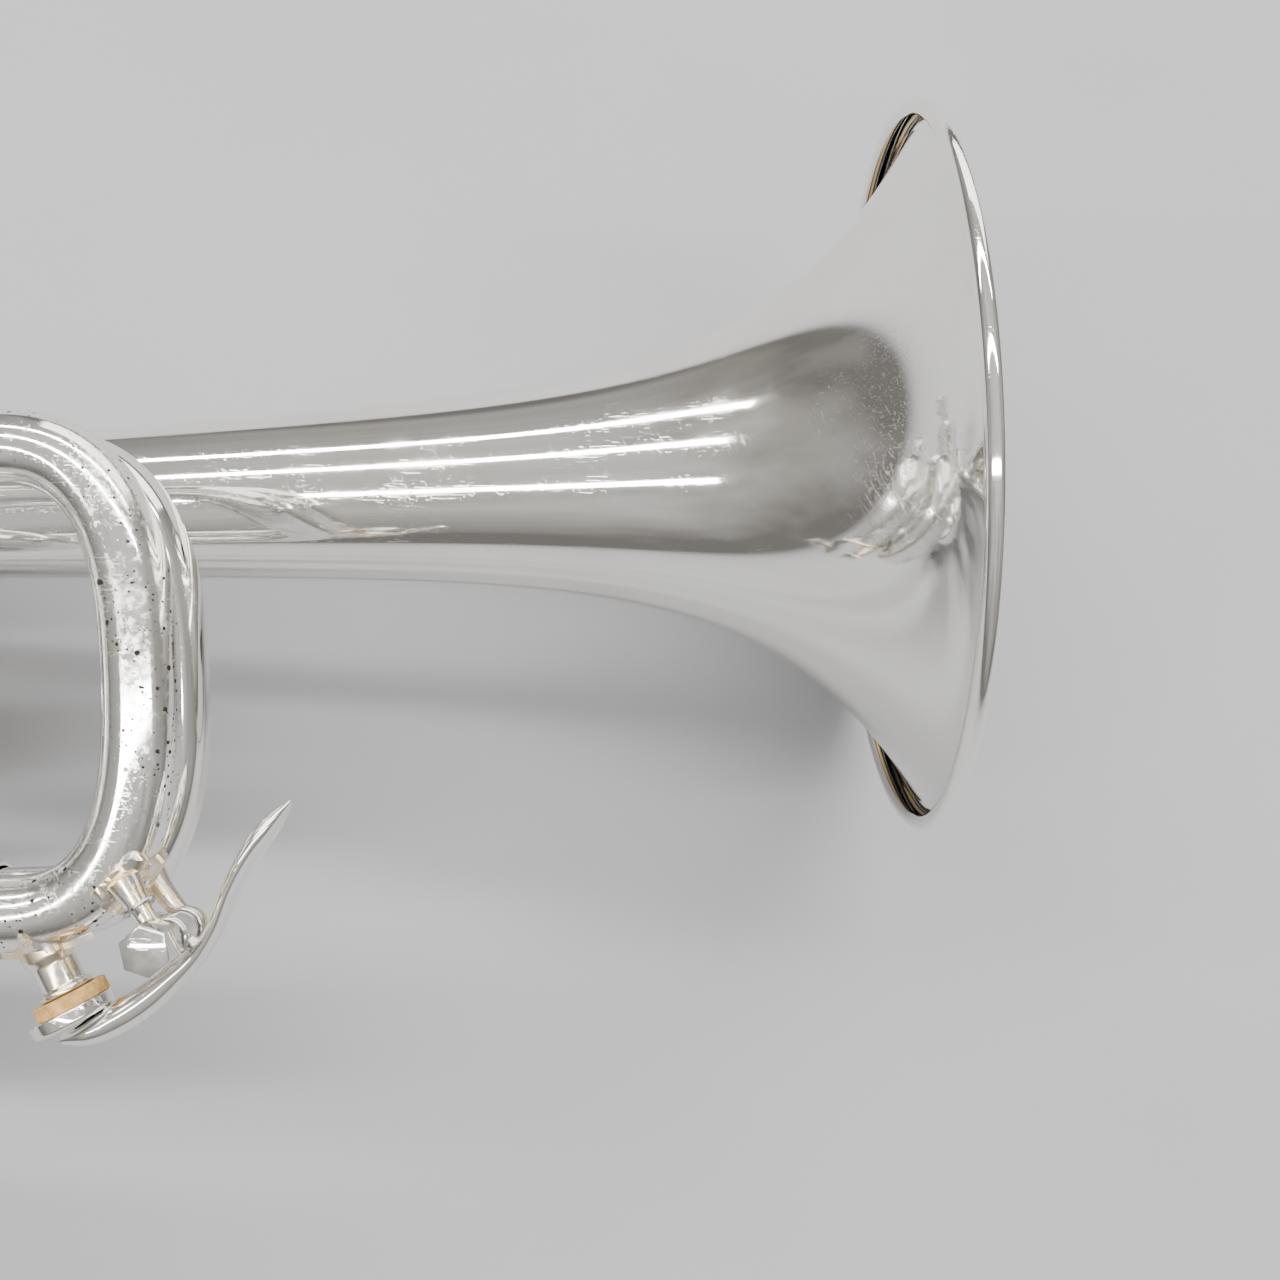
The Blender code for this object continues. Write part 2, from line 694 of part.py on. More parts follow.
def build_casing(number, body):
    """A tube with a wider head, where the valve guide rests on the step inside. The first two casings
    carry the short knuckle that joins them to the valve in front."""
    outline = [
        (CASING_BOTTOM, CASING_BORE),
        (CASING_BOTTOM, CASING_RADIUS),
        (HEAD_FOOT, CASING_RADIUS),
        (HEAD_FOOT, HEAD_RADIUS),
        (CASING_TOP, HEAD_RADIUS),
        (CASING_TOP, HEAD_BORE),
        (GUIDE_Y - GAP, HEAD_BORE),
        (GUIDE_Y - GAP, CASING_BORE),
    ]
    casing = turned_piece(f"valve_casing_{number}", outline, valve_foot(number), UP, CASING_SIDES, body)
    if number < 3:
        start = Vector((VALVES_X[number - 1] + CASING_RADIUS + 1 * MM, KNUCKLE_Y, VALVE_Z))
        mesh = bmesh.new()
        path = [start, start + FORWARD * 3 * MM]
        sunk = CASING_RADIUS - 0.3 * MM
        bore = PORT_RADIUS + 0.25 * MM
        add_tube(mesh, path, 5.6 * MM, bore, VALVES_X[number - 1], VALVES_X[number], sunk)
        combine(casing, "UNION", finish(f"knuckle_{number}", mesh, SILVER, body))
    plugs = bmesh.new()
    for y, direction in [(y, slide_direction(number)) for y in SLIDE_PORTS_Y] + list(through_ports(number)):
        middle = valve_foot(number) + UP * y
        add_rod(plugs, [middle + direction * 6.8 * MM, middle + direction * 12 * MM], PORT_RADIUS, sides=10)
    combine(casing, "DIFFERENCE", finish(f"casing_ports_{number}", plugs, SILVER, body))


def add_passage(mesh, number, start, end):
    """A bent bore through the piston between two of its ports, each a (height, direction)."""
    (start_y, start_way), (end_y, end_way) = start, end
    reach = PISTON_RADIUS + 2 * MM
    foot = valve_foot(number)
    elbow = (start_way + end_way) * reach * 0.15
    path = [
        foot + UP * start_y + start_way * reach,
        foot + UP * (start_y + end_y) / 2 + elbow,
        foot + UP * end_y + end_way * reach,
    ]
    add_rod(mesh, path, PASSAGE_RADIUS, sides=10)


def build_piston(number, body):
    lid = BARREL_TOP - 1.6 * MM
    outline = [
        (PISTON_BOTTOM, 0),
        (PISTON_BOTTOM, PISTON_RADIUS),
        (BARREL_TOP, PISTON_RADIUS),
        (BARREL_TOP, STEM_RADIUS + GAP),
        (lid, STEM_RADIUS + GAP),
        (lid, BARREL_BORE),
        (BARREL_FLOOR, BARREL_BORE),
        (BARREL_FLOOR, 0),
    ]
    piston = turned_piece(f"piston_{number}", outline, valve_foot(number), UP, CASING_SIDES, body)
    piston.data.materials[0] = material_of(MONEL)
    way_in, way_out = through_ports(number)
    slide = slide_direction(number)
    upper, lower = ((y + STROKE, slide) for y in SLIDE_PORTS_Y)
    in_goes, out_goes = (upper, lower) if number == 1 else (lower, upper)
    mesh = bmesh.new()
    add_passage(mesh, number, way_in, way_out)
    add_passage(mesh, number, (way_in[0] + STROKE, way_in[1]), in_goes)
    add_passage(mesh, number, (way_out[0] + STROKE, way_out[1]), out_goes)
    slot_length = STROKE + 4 * MM
    slot_middle = valve_foot(number) + UP * (GUIDE_Y - 1 * MM + slot_length / 2)
    add_block(mesh, slot_middle, (4.6 * MM, slot_length, 20 * MM))
    combine(piston, "DIFFERENCE", finish(f"piston_passages_{number}", mesh, MONEL, body))


def build_guide(number, body):
    """The bar that rests on the step in the casing, holds the spring and keeps the piston from turning."""
    mesh = bmesh.new()
    middle = valve_foot(number) + UP * (GUIDE_Y + GUIDE_THICK / 2)
    add_block(mesh, middle, (3.2 * MM, GUIDE_THICK, 17.6 * MM))
    finish(f"valve_guide_{number}", mesh, BRASS, body)


def coil(centre, axis, radius, height, turns, steps):
    """Points of a helix that rises from a centre along an axis."""
    first, second = across(axis)
    found = []
    for i in range(turns * steps + 1):
        angle = 2 * math.pi * i / steps
        rise = height * i / (turns * steps)
        found.append(centre + axis * rise + (first * math.cos(angle) + second * math.sin(angle)) * radius)
    return found


def build_piston_spring(number, body):
    wire = 0.4 * MM
    low = GUIDE_Y + GUIDE_THICK + wire + GAP
    high = BARREL_TOP - 1.6 * MM - wire - GAP
    mesh = bmesh.new()
    add_rod(mesh, coil(valve_foot(number) + UP * low, UP, 5.6 * MM, high - low, 5, 8), wire, sides=4)
    finish(f"piston_spring_{number}", mesh, STEEL, body)


def build_button(number, body):
    """The stem screwed into the piston's lid and the finger button on it, with a pearl disc let in."""
    lid = BARREL_TOP - 1.6 * MM
    under = CAP_TOP + FELT + STROKE
    top = under + 5.5 * MM
    seat = top - 1.2 * MM
    outline = [
        (lid, 0),
        (lid, STEM_RADIUS),
        (BARREL_TOP + GAP, STEM_RADIUS),
        (BARREL_TOP + GAP, STEM_RADIUS + 0.3 * MM),
        (BARREL_TOP + 1.5 * MM, STEM_RADIUS + 0.3 * MM),
        (BARREL_TOP + 1.5 * MM, STEM_RADIUS),
        (under, STEM_RADIUS),
        (under, 4.2 * MM),
        (under + 2.6 * MM, 5.2 * MM),
        (under + 3.4 * MM, BUTTON_RADIUS),
        (top, BUTTON_RADIUS),
        (top, BUTTON_RADIUS - 1 * MM),
        (seat, BUTTON_RADIUS - 1 * MM),
        (seat, 0),
    ]
    turned_piece(f"finger_button_{number}", outline, valve_foot(number), UP, FERRULE_SIDES, body)
    pearl = BUTTON_RADIUS - 1.3 * MM
    outline = [
        (seat + GAP, 0),
        (seat + GAP, pearl),
        (top + 0.1 * MM, pearl),
        (top - 0.3 * MM, pearl / 2),
        (top - 0.4 * MM, 0),
    ]
    disc = turned_piece(f"button_pearl_{number}", outline, valve_foot(number), UP, FERRULE_SIDES, body)
    disc.data.materials[0] = material_of(PEARL)


def build_caps(number, body):
    hole = STEM_RADIUS + 2 * GAP
    outline = [
        (CASING_TOP - 6 * MM, HEAD_RADIUS + GAP),
        (CASING_TOP - 6 * MM, CAP_RADIUS),
        (CASING_TOP + 1.5 * MM, CAP_RADIUS),
        (CAP_TOP - 2 * MM, 7.4 * MM),
        (CAP_TOP, 6.8 * MM),
        (CAP_TOP, hole),
        (CASING_TOP + 1.8 * MM, hole),
        (CASING_TOP + GAP, hole + 2 * MM),
        (CASING_TOP + GAP, HEAD_RADIUS + GAP),
    ]
    turned_piece(f"top_cap_{number}", outline, valve_foot(number), UP, CASING_SIDES, body)
    floor = CASING_BOTTOM - 4 * MM
    rim = CASING_RADIUS + 1.1 * MM
    vent = 1.6 * MM
    outline = [
        (CASING_BOTTOM + 8 * MM, CASING_RADIUS + GAP),
        (CASING_BOTTOM + 8 * MM, rim),
        (CASING_BOTTOM - 1.5 * MM, rim),
        (floor, rim - 1.6 * MM),
        (floor, vent),
        (CASING_BOTTOM - GAP, vent),
        (CASING_BOTTOM - GAP, CASING_RADIUS + GAP),
    ]
    turned_piece(f"bottom_cap_{number}", outline, valve_foot(number), UP, CASING_SIDES, body)
    low = CAP_TOP + 0.1 * MM
    high = CAP_TOP + FELT - GAP
    inner = STEM_RADIUS + GAP
    outline = [(low, inner), (low, 5.6 * MM), (high, 5.6 * MM), (high, inner)]
    felt = turned_piece(f"cap_felt_{number}", outline, valve_foot(number), UP, FERRULE_SIDES, body)
    felt.data.materials[0] = material_of(FELT_CLOTH)


# ---------------------------------------------------------------- braces and hook


def build_brace(name, low, low_radius, high, high_radius, body):
    """A turned post with a spreading foot at each end, from one round tube to another."""
    axis = (high - low).normalized()
    start = low + axis * (low_radius + 0.6 * MM)
    length = (high - low).length - low_radius - high_radius - 1.2 * MM
    foot = 3.2 * MM
    outline = [
        (0, 0),
        (0, foot),
        (0.8 * MM, foot),
        (2.2 * MM, 1.5 * MM),
        (length / 2, 2 * MM),
        (length - 2.2 * MM, 1.5 * MM),
        (length - 0.8 * MM, foot),
        (length, foot),
        (length, 0),
    ]
    turned_piece(name, outline, start, axis, 10, body)


def build_braces(body):
    casing = Vector((VALVES_X[0], LEAD_Y, VALVE_Z))
    pipe = casing + RIGHT * (NEAR_Z - VALVE_Z)
    build_brace("leadpipe_valve_brace", casing, CASING_RADIUS, pipe, LEAD_RADIUS, body)
    bell = Vector((REAR_BRACE_X, 0, 0))
    pipe = Vector((REAR_BRACE_X, LEAD_Y, NEAR_Z))
    build_brace("leadpipe_bell_brace", bell, bell_radius(-REAR_BRACE_X), pipe, LEAD_RADIUS, body)
    bell = Vector((FRONT_BRACE_X, 0, 0))
    sleeve = Vector((FRONT_BRACE_X, LEAD_Y - FAR_DROP, FAR_Z))
    build_brace("front_bell_brace", bell, bell_radius(-FRONT_BRACE_X), sleeve, SLEEVE_RADIUS, body)


def build_finger_hook(body):
    """The little finger's hook, a flat strip that rises off the lead pipe and curls forward."""
    base = Vector((HOOK_X, LEAD_Y + LEAD_RADIUS + 1.2 * MM, NEAR_Z))
    centre = base + UP * 11 * MM + FORWARD * 3 * MM
    path = [base - FORWARD * 8 * MM, base - FORWARD * 3 * MM]
    for i in range(10):
        angle = math.radians(-100 + 250 * i / 9)
        path.append(centre + (FORWARD * math.cos(angle) + UP * math.sin(angle)) * 10.5 * MM)
    last = len(path) - 1
    widths = [(2.8 - 0.9 * i / last) * MM for i in range(last + 1)]
    mesh = bmesh.new()
    add_rod(mesh, path, widths, [0.8 * MM] * (last + 1), sides=8)
    finish("finger_hook", mesh, SILVER, body)


# ---------------------------------------------------------------- water key


def nipple_frame():
    """The nipple's root on the near bow's centre line, and the way it points."""
    foot = Vector((*NIPPLE_FOOT, NEAR_Z))
    return foot, Vector((math.cos(NIPPLE_ANGLE), math.sin(NIPPLE_ANGLE), 0))


def hinge_point():
    return Vector((HINGE_X, HINGE_Y, NEAR_Z))


def bow_rod(name, radius, body):
    """A helper: the near bow as a solid rod of another radius."""
    curve = bow_curve(NEAR_Z, 0)
    mesh = bmesh.new()
    add_rod(mesh, curve[BOW_STEPS // 2 :] + [curve[-1] - FORWARD * 20 * MM], radius, sides=16)
    return finish(name, mesh, SILVER, body)


def add_kite(mesh, origin, axis, long_way, wide_way, corners):
    """A prism along an axis whose outline is a list of (along, wide) corners."""
    rings = []
    for height in (2 * MM, 9 * MM):
        rings.append([origin + axis * height + long_way * a * MM + wide_way * b * MM for a, b in corners])
    add_loft(mesh, rings, closed=False)


def build_nipple(body):
    """The drain spout under the near bow: a pointed flange that fits the tube, a neck and a flat seat."""
    foot, axis = nipple_frame()
    tip = CORK_FACE - 0.1 * MM
    corners = ((-7, 0), (-2, 3), (0, 5.2), (2, 3), (6.4, 0), (2, -3), (0, -5.2), (-2, -3))
    mesh = bmesh.new()
    add_kite(mesh, foot, axis, RIGHT.cross(axis), RIGHT, corners)
    nipple = finish("waterkey_nipple", mesh, SILVER, body)
    combine(nipple, "INTERSECT", bow_rod("nipple_flange_skin", LEAD_RADIUS + 1 * MM, body))
    neck = [
        (3 * MM, 0),
        (3 * MM, 2.9 * MM),
        (tip - 1 * MM, 2.9 * MM),
        (tip - 0.8 * MM, 3.6 * MM),
        (tip, 3.6 * MM),
        (tip, 0),
    ]
    combine(nipple, "UNION", turned_piece("nipple_neck", neck, foot, axis, 16, body))
    combine(nipple, "DIFFERENCE", bow_rod("nipple_root", LEAD_RADIUS + GAP, body))
    drain = bmesh.new()
    add_rod(drain, [foot + axis * 2 * MM, foot + axis * (tip + 2 * MM)], DRAIN_RADIUS, sides=8)
    combine(nipple, "DIFFERENCE", finish("nipple_drain", drain, SILVER, body))


def build_saddle(body):
    """The hinge bracket soldered to the bow: a curved foot plate and two ears for the pivot screw."""
    hinge = hinge_point()
    root = Vector((*SADDLE_ROOT, NEAR_Z))
    out = (hinge - root).normalized()
    along = RIGHT.cross(out)
    mesh = bmesh.new()
    add_kite(mesh, root, out, along, RIGHT, ((-5, -5.4), (4.4, -5.4), (4.4, 5.4), (0, 5.8), (-5, 5.4)))
    saddle = finish("waterkey_saddle", mesh, SILVER, body)
    combine(saddle, "INTERSECT", bow_rod("saddle_skin", LEAD_RADIUS + 1.5 * MM, body))
    for side, name in ((-1, "saddle_far_ear"), (1, "saddle_near_ear")):
        ear = bmesh.new()
        rings = []
        for z in (side * EAR_INNER, side * EAR_OUTER):
            base = root + out * 2.6 * MM + RIGHT * z
            outline = [base + along * 2.9 * MM]
            for i in range(9):
                angle = math.pi * i / 8
                arm = along * math.cos(angle) + out * math.sin(angle)
                outline.append(hinge + arm * 2.7 * MM + RIGHT * z)
            outline.append(base - along * 2.9 * MM)
            rings.append(outline)
        add_loft(ear, rings, closed=False)
        combine(saddle, "UNION", finish(name, ear, SILVER, body))
    combine(saddle, "DIFFERENCE", bow_rod("saddle_root", LEAD_RADIUS + GAP, body))
    drill = bmesh.new()
    add_rod(drill, [hinge - RIGHT * 8 * MM, hinge + RIGHT * 8 * MM], PIN_RADIUS + GAP, sides=12)
    combine(saddle, "DIFFERENCE", finish("saddle_drill", drill, SILVER, body))


def build_pivot_screw(body):
    """The hinge pin, with its hexagonal head on the player's right."""
    head = HEX_FLATS / math.sqrt(3)
    seat = EAR_OUTER + GAP
    outline = [
        (-7 * MM, 0),
        (-7 * MM, PIN_RADIUS),
        (seat, PIN_RADIUS),
        (seat, head),
        (seat + 4 * MM, head),
        (seat + 4 * MM, 0),
    ]
    turned_piece("waterkey_screw", outline, hinge_point(), RIGHT, 6, body)


def quadratic(a, b, c, steps):
    """Points of a curve from a towards c that leans on b, without the last one."""
    return [a.lerp(b, i / steps).lerp(b.lerp(c, i / steps), i / steps) for i in range(steps)]


def build_lever(body):
    """A curved lever with a round cup for the cork, a barrel round the pivot and a thumb plate."""
    near = RIGHT * NEAR_Z
    start, middle, knee, tip = (point(x, y, 0) + near for x, y in LEVER_POINTS)
    path = quadratic(start, start.lerp(middle, 0.5) + point(0.6, -1.6, 0), middle, 4)
    path += quadratic(middle, point(-107.2, -69.2, 0) + near, knee, 4)
    path += quadratic(knee, knee.lerp(tip, 0.5) + point(-0.6, 0.4, 0), tip, 4) + [tip]
    widths = [w * MM for w in (2.6, 2.7, 2.6, 2.4, 2.3, 2.3, 2.3, 2.4, 2.8, 3.4, 4.0, 3.6, 1.8)]
    depths = [d * MM for d in (1.0, 1.5, 1.8, 1.8, 1.6, 1.5, 1.3, 1.2, 1.1, 0.9, 0.8, 0.7, 0.5)]
    mesh = bmesh.new()
    add_rod(mesh, path, widths, depths, sides=10)
    lever = finish("waterkey_lever", mesh, SILVER, body)
    foot, axis = nipple_frame()
    back = CORK_FACE + CORK_THICKNESS + GAP
    edge = back + 1.2 * MM
    outline = [
        (back, 0),
        (back, CUP_RADIUS),
        (edge, CUP_RADIUS),
        (edge + 0.9 * MM, CUP_RADIUS - 1 * MM),
        (edge + 1.4 * MM, 0),
    ]
    combine(lever, "UNION", turned_piece("lever_cup", outline, foot, axis, 16, body))
    bore = PIN_RADIUS + GAP
    half = EAR_INNER - 2.6 * MM
    outline = [(-half, bore), (-half, bore + 1.2 * MM), (half, bore + 1.2 * MM), (half, bore)]
    hinge = hinge_point()
    combine(lever, "UNION", turned_piece("lever_barrel", outline, hinge, RIGHT, 12, body))
    out = (path[6] - hinge).normalized()
    reach = (path[6] - hinge).length
    web = bmesh.new()
    near_end = bore + 0.5 * MM
    middle = hinge + out * (reach + near_end) / 2
    size = (3.4 * MM, 2.4 * MM, reach - near_end)
    add_block(web, middle, size, (RIGHT.cross(out), RIGHT, out))
    combine(lever, "UNION", finish("lever_web", web, SILVER, body))


def build_cork(body):
    foot, axis = nipple_frame()
    low = CORK_FACE + 0.2 * MM
    high = CORK_FACE + CORK_THICKNESS
    outline = [(low, 0), (low, CORK_RADIUS), (high, CORK_RADIUS), (high, 0)]
    cork = turned_piece("waterkey_cork", outline, foot, axis, 20, body)
    cork.data.materials[0] = material_of(CORK)


def build_key_spring(body):
    """One wire: a coil round the pivot each side of the barrel, joined by a loop that bears on the bow."""
    hinge = hinge_point()
    radius = PIN_RADIUS + 1.2 * MM
    half = EAR_INNER - 0.6 * MM
    pitch = 0.8 * MM
    steps = 8
    path = []
    for i in range(2 * steps + 1):
        angle = math.radians(SPRING_ANGLE) + 2 * math.pi * i / steps
        outward = FORWARD * math.cos(angle) + UP * math.sin(angle)
        path.append(hinge + outward * radius + RIGHT * (half - pitch * i / steps))
    outward = FORWARD * math.cos(math.radians(SPRING_ANGLE)) + UP * math.sin(math.radians(SPRING_ANGLE))
    loop = hinge + outward * (radius + 0.9 * MM)
    mirror = [Vector((p.x, p.y, 2 * NEAR_Z - p.z)) for p in path[::-1]]
    path = path + [loop + RIGHT * half * 0.4, loop - RIGHT * half * 0.4] + mirror
    mesh = bmesh.new()
    add_rod(mesh, path, 0.3 * MM, sides=4)
    finish("waterkey_spring", mesh, STEEL, body)


# ---------------------------------------------------------------- assembly


def lay_down(root, supports):
    """Turns the instrument until three pieces touch the table, then sets it over the origin."""
    bpy.context.view_layer.update()
    graph = bpy.context.evaluated_depsgraph_get()
    inverse = root["empty"].matrix_world.inverted()
    clouds = {}
    for obj in root["empty"].children_recursive:
        if obj.type == "MESH" and not obj.hide_render:
            place = inverse @ obj.matrix_world
            clouds[obj.name] = [place @ v.co for v in obj.evaluated_get(graph).data.vertices]
    up = RIGHT
    for _ in range(12):
        a, b, c = (min(clouds[name], key=lambda p: p.dot(up)) for name in supports)
        up = (b - a).cross(c - a).normalized()
        if up.dot(RIGHT) < 0:
            up = -up
    ahead = (FORWARD - up * FORWARD.dot(up)).normalized()
    turn = Matrix((ahead, up.cross(ahead), up)).to_4x4()
    points = [turn @ p for cloud in clouds.values() for p in cloud]
    low = Vector([min(p[i] for p in points) for i in range(3)])
    high = Vector([max(p[i] for p in points) for i in range(3)])
    shift = Vector((-(low.x + high.x) / 2, -(low.y + high.y) / 2, -low.z))
    root["empty"].matrix_world = Matrix.Translation(shift) @ turn


def main():
    clear_scene()
    root = carrier("cornet", Vector())
    build_bell(root)
    build_rim_wire(root)
    build_rear_bow(root)
    build_bell_ferrule(root)
    build_bows(root)
    build_bow_ferrule("near_bow_ferrule", NEAR_JOINT_X, LEAD_Y, NEAR_Z, root)
    build_bow_ferrule("far_bow_ferrule", FAR_JOINT_X, MAIN_PORT_Y, FAR_Z, root)
    build_leadpipe(root)
    build_receiver(root)
    build_entry_tube(root)
    shank_tip = Vector((RECEIVER_END_X + 22 * MM, LEAD_Y, NEAR_Z))
    build_mouthpiece(carrier("mouthpiece_motion", shank_tip, root))

    tuning_place = tuning_tops()[0] + FORWARD * TUNING_SLEEVE_X[1]
    build_tuning_slide(root, carrier("tuning_slide_motion", tuning_place, root))

    for number, name in ((1, "first_slide"), (2, "second_slide"), (3, "third_slide")):
        build_casing(number, root)
        moving = carrier(f"piston_{number}_motion", valve_foot(number), root)
        build_piston(number, moving)
        build_button(number, moving)
        build_guide(number, root)
        build_piston_spring(number, root)
        build_caps(number, root)
        slide_place = slide_tops(number)[0] + slide_direction(number) * SLEEVE_LENGTHS[number - 1]
        build_valve_slide(number, name, root, carrier(name + "_motion", slide_place, root))

    build_braces(root)
    build_finger_hook(root)

    build_nipple(root)
    build_saddle(root)
    build_pivot_screw(root)
    key = carrier("waterkey_motion", hinge_point(), root)
    build_lever(key)
    build_cork(key)
    build_key_spring(root)

    lay_down(root, ("bell", "bell_bow", "bottom_cap_1"))


main()
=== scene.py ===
import json
import math

import bmesh
import bpy
from mathutils import Matrix, Vector


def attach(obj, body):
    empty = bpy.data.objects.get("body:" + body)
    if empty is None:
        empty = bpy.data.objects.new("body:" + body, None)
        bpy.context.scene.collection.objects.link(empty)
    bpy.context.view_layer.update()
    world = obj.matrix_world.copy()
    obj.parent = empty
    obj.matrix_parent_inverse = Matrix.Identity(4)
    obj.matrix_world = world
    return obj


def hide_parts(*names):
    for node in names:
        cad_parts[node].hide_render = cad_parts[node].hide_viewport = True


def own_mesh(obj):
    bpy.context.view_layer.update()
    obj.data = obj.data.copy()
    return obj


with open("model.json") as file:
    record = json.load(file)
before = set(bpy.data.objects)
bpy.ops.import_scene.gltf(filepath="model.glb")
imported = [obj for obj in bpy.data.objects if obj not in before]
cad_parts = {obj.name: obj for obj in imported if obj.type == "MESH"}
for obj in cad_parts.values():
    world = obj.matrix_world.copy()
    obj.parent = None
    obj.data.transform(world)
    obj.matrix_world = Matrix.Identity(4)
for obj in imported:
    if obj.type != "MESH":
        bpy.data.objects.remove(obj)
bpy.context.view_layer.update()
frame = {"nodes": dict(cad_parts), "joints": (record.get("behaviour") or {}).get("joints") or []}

# What each piece is made of: the names of the record's material slots
SILVER = "silver_plate"
BRASS = "brass"
STEEL = "spring_steel"
ALLOY = "piston_alloy"
PEARL = "pearl"
FELT_CLOTH = "felt"
CORK = "cork"
# Two more states of the same plate
PITTED = "pitted silver"
SOLDERED = "soldered silver"
LOOKS = {}

CORNER_STEPS = 4
CORNER_SHARE = 0.45
CREASE = 35

# Sizes, all driven by the bell's rim and the bows, in the instrument's own frame: x runs forward along
# the bell from its mouth, y up to the finger buttons and z to the player's right
MM = 0.001
GAP = 0.3 * MM
STEP = 0.1 * MM

# Bell
RIM_RADIUS = 60 * MM
BEAD_RADIUS = 1.45 * MM
SHEET = 0.5 * MM
BELL_LENGTH = 321.7 * MM
BELL_SIDES = 176
BELL_STEPS = 60
FLARE_CROWDING = 2.2
SHEET_START = 0.9 * MM
BEAD_ANGLES = (-150, 125)
RIM_WIRE = 0.55 * MM
# The bell's curve in millimetres: a taper, and two exponential rises towards the mouth
MOUTH_TAPER = 17.1
TAPER_SLOPE = 0.032
FLARE_RISE = 38.1
FLARE_REACH = 23
LIP_RISE = 3.3
LIP_REACH = 1.1

# The two front bows, squarish loops side by side
BOW_START_X = -133.3 * MM
BOW_REACH = 19.2 * MM
BOW_HALF_HEIGHT = 31.3 * MM
BOW_MIDDLE_Y = -28.8 * MM
BOW_SQUARENESS = 2.65
BOW_STEPS = 60
NEAR_Z = 48 * MM
FAR_Z = 36 * MM
FAR_DROP = 0.8 * MM
NEAR_JOINT_X = -141.5 * MM
FAR_JOINT_X = -144 * MM
LEAD_RADIUS = 5.1 * MM
TUBE_WALL = 0.6 * MM
TUBE_SIDES = 40

# Valves
VALVE_Z = 20.5 * MM
THIRD_VALVE_X = -244 * MM
VALVE_SPACING = 24 * MM
CASING_RADIUS = 9.2 * MM
CLEAR = CASING_RADIUS + GAP
CASING_BORE = 8.6 * MM
HEAD_RADIUS = 9.7 * MM
HEAD_BORE = 9.1 * MM
HEAD_FOOT = 7 * MM
CASING_BOTTOM = -87 * MM
CASING_TOP = 38 * MM
PISTON_RADIUS = 8.3 * MM
PISTON_BOTTOM = -68 * MM
BARREL_FLOOR = 6 * MM
BARREL_TOP = 36 * MM
BARREL_LID = BARREL_TOP - 1.6 * MM
BARREL_BORE = 7 * MM
STROKE = 16.5 * MM
GUIDE_Y = 8.3 * MM
GUIDE_THICK = 1.6 * MM
BUTTON_RADIUS = 7 * MM
CAP_RADIUS = 10.6 * MM
CAP_TOP = 44 * MM
FELT = 1.5 * MM
KNURL_DEPTH = 0.22 * MM
KNURL_TEETH = 60
STEM_RADIUS = 2.3 * MM
CASING_SIDES = 64
FERRULE_SIDES = 48

# Heights of the ports, and the bore of every passage
MAIN_PORT_Y = BOW_MIDDLE_Y - BOW_HALF_HEIGHT - FAR_DROP
BELL_PORT_Y = -60 * MM
KNUCKLE_Y = -50 * MM
SLIDE_PORTS_Y = (-18 * MM, -44 * MM)
PORT_RADIUS = 4.7 * MM
PASSAGE_RADIUS = 4.1 * MM
ELBOW_SHARE = 0.15
ENTRY_ANGLE = math.radians(35)
FIRST_SLIDE_ANGLE = math.radians(168)

# Slides: fixed sleeves, and inner legs that run in them
SLEEVE_RADIUS = 6.2 * MM
SLEEVE_BORE = 5.75 * MM
STAY_REACH = SLEEVE_BORE + 0.1 * MM
BEAD_RISE = 0.35 * MM
LEG_RADIUS = 5.35 * MM
LEG_BORE = 4.75 * MM
CROOK_RADIUS = 5.7 * MM
THIRD_RING_RADIUS = 11 * MM
KNOB = (
    (0, 0),
    (0, 2.4 * MM),
    (1.4 * MM, 1.3 * MM),
    (3.4 * MM, 1.5 * MM),
    (4.9 * MM, 3 * MM),
    (6.4 * MM, 2 * MM),
    (6.4 * MM, 0),
)
COLLAR_LENGTH = 4 * MM
CROOK_STEPS = 28
TUNING_SLEEVE_X = (-149 * MM, -197 * MM)
SLEEVE_LENGTHS = (56 * MM, 18 * MM, 71 * MM)

# Rear end
REAR_BOW_RADIUS = 6.3 * MM
REAR_BOW_X = -322 * MM
RECEIVER_END_X = -412 * MM
RECEIVER_FRONT_X = -372 * MM
REAR_BRACE_X = -308 * MM
FRONT_BRACE_X = -190 * MM
HOOK_X = -225 * MM
HOOK_RADIUS = 10.5 * MM
# Distances back from the tip of the shank and radii, in millimetres
MOUTHPIECE_OUTSIDE = (
    (0, 3.7),
    (0, 4.25),
    (23, 4.7),
    (32, 5.2),
    (38, 5.4),
    (41, 6.6),
    (45, 9.2),
    (52, 10.8),
    (59, 12.2),
    (62.5, 13.6),
    (65, 12.9),
    (66, 11),
)
MOUTHPIECE_INSIDE = ((65.2, 9), (62, 8.1), (56, 7), (51, 4.6), (48, 1.9), (42, 1.9))

# Water key
HINGE_X = -110.7 * MM
HINGE_Y = -63.4 * MM
SADDLE_ROOT = (-118.9 * MM, -53.7 * MM)
EAR_INNER = 4.6 * MM
EAR_OUTER = 5.9 * MM
PIN_RADIUS = 1.2 * MM
PIN_PLAY = 0.1 * MM
HEX_FLATS = 6.1 * MM
SPRING_ANGLE = 140
POST_LOOP_RADIUS = 2.2 * MM
# The lever from the cork cup to the finger tip, in millimetres: middle line, half widths, half depths
LEVER_LINE = (
    (-125.9, -77.0),
    (-122.4, -76.1),
    (-118.7, -74.4),
    (-114.8, -72.1),
    (-111.2, -69.4),
    (-107.8, -66.4),
    (-105.0, -62.4),
    (-102.8, -57.6),
    (-100.1, -53.0),
    (-97.3, -49.3),
    (-94.5, -46.2),
)
LEVER_HALF_WIDTHS = (1.6, 2.9, 2.9, 2.6, 2.4, 2.5, 2.9, 3.5, 4.0, 3.4, 0.7)
LEVER_HALF_DEPTHS = (0.8, 1.8, 2.2, 2.1, 1.7, 1.3, 1.15, 1.2, 1.4, 1.4, 0.3)
LEVER_STEPS = 8
HEX_TURN = math.radians(100)
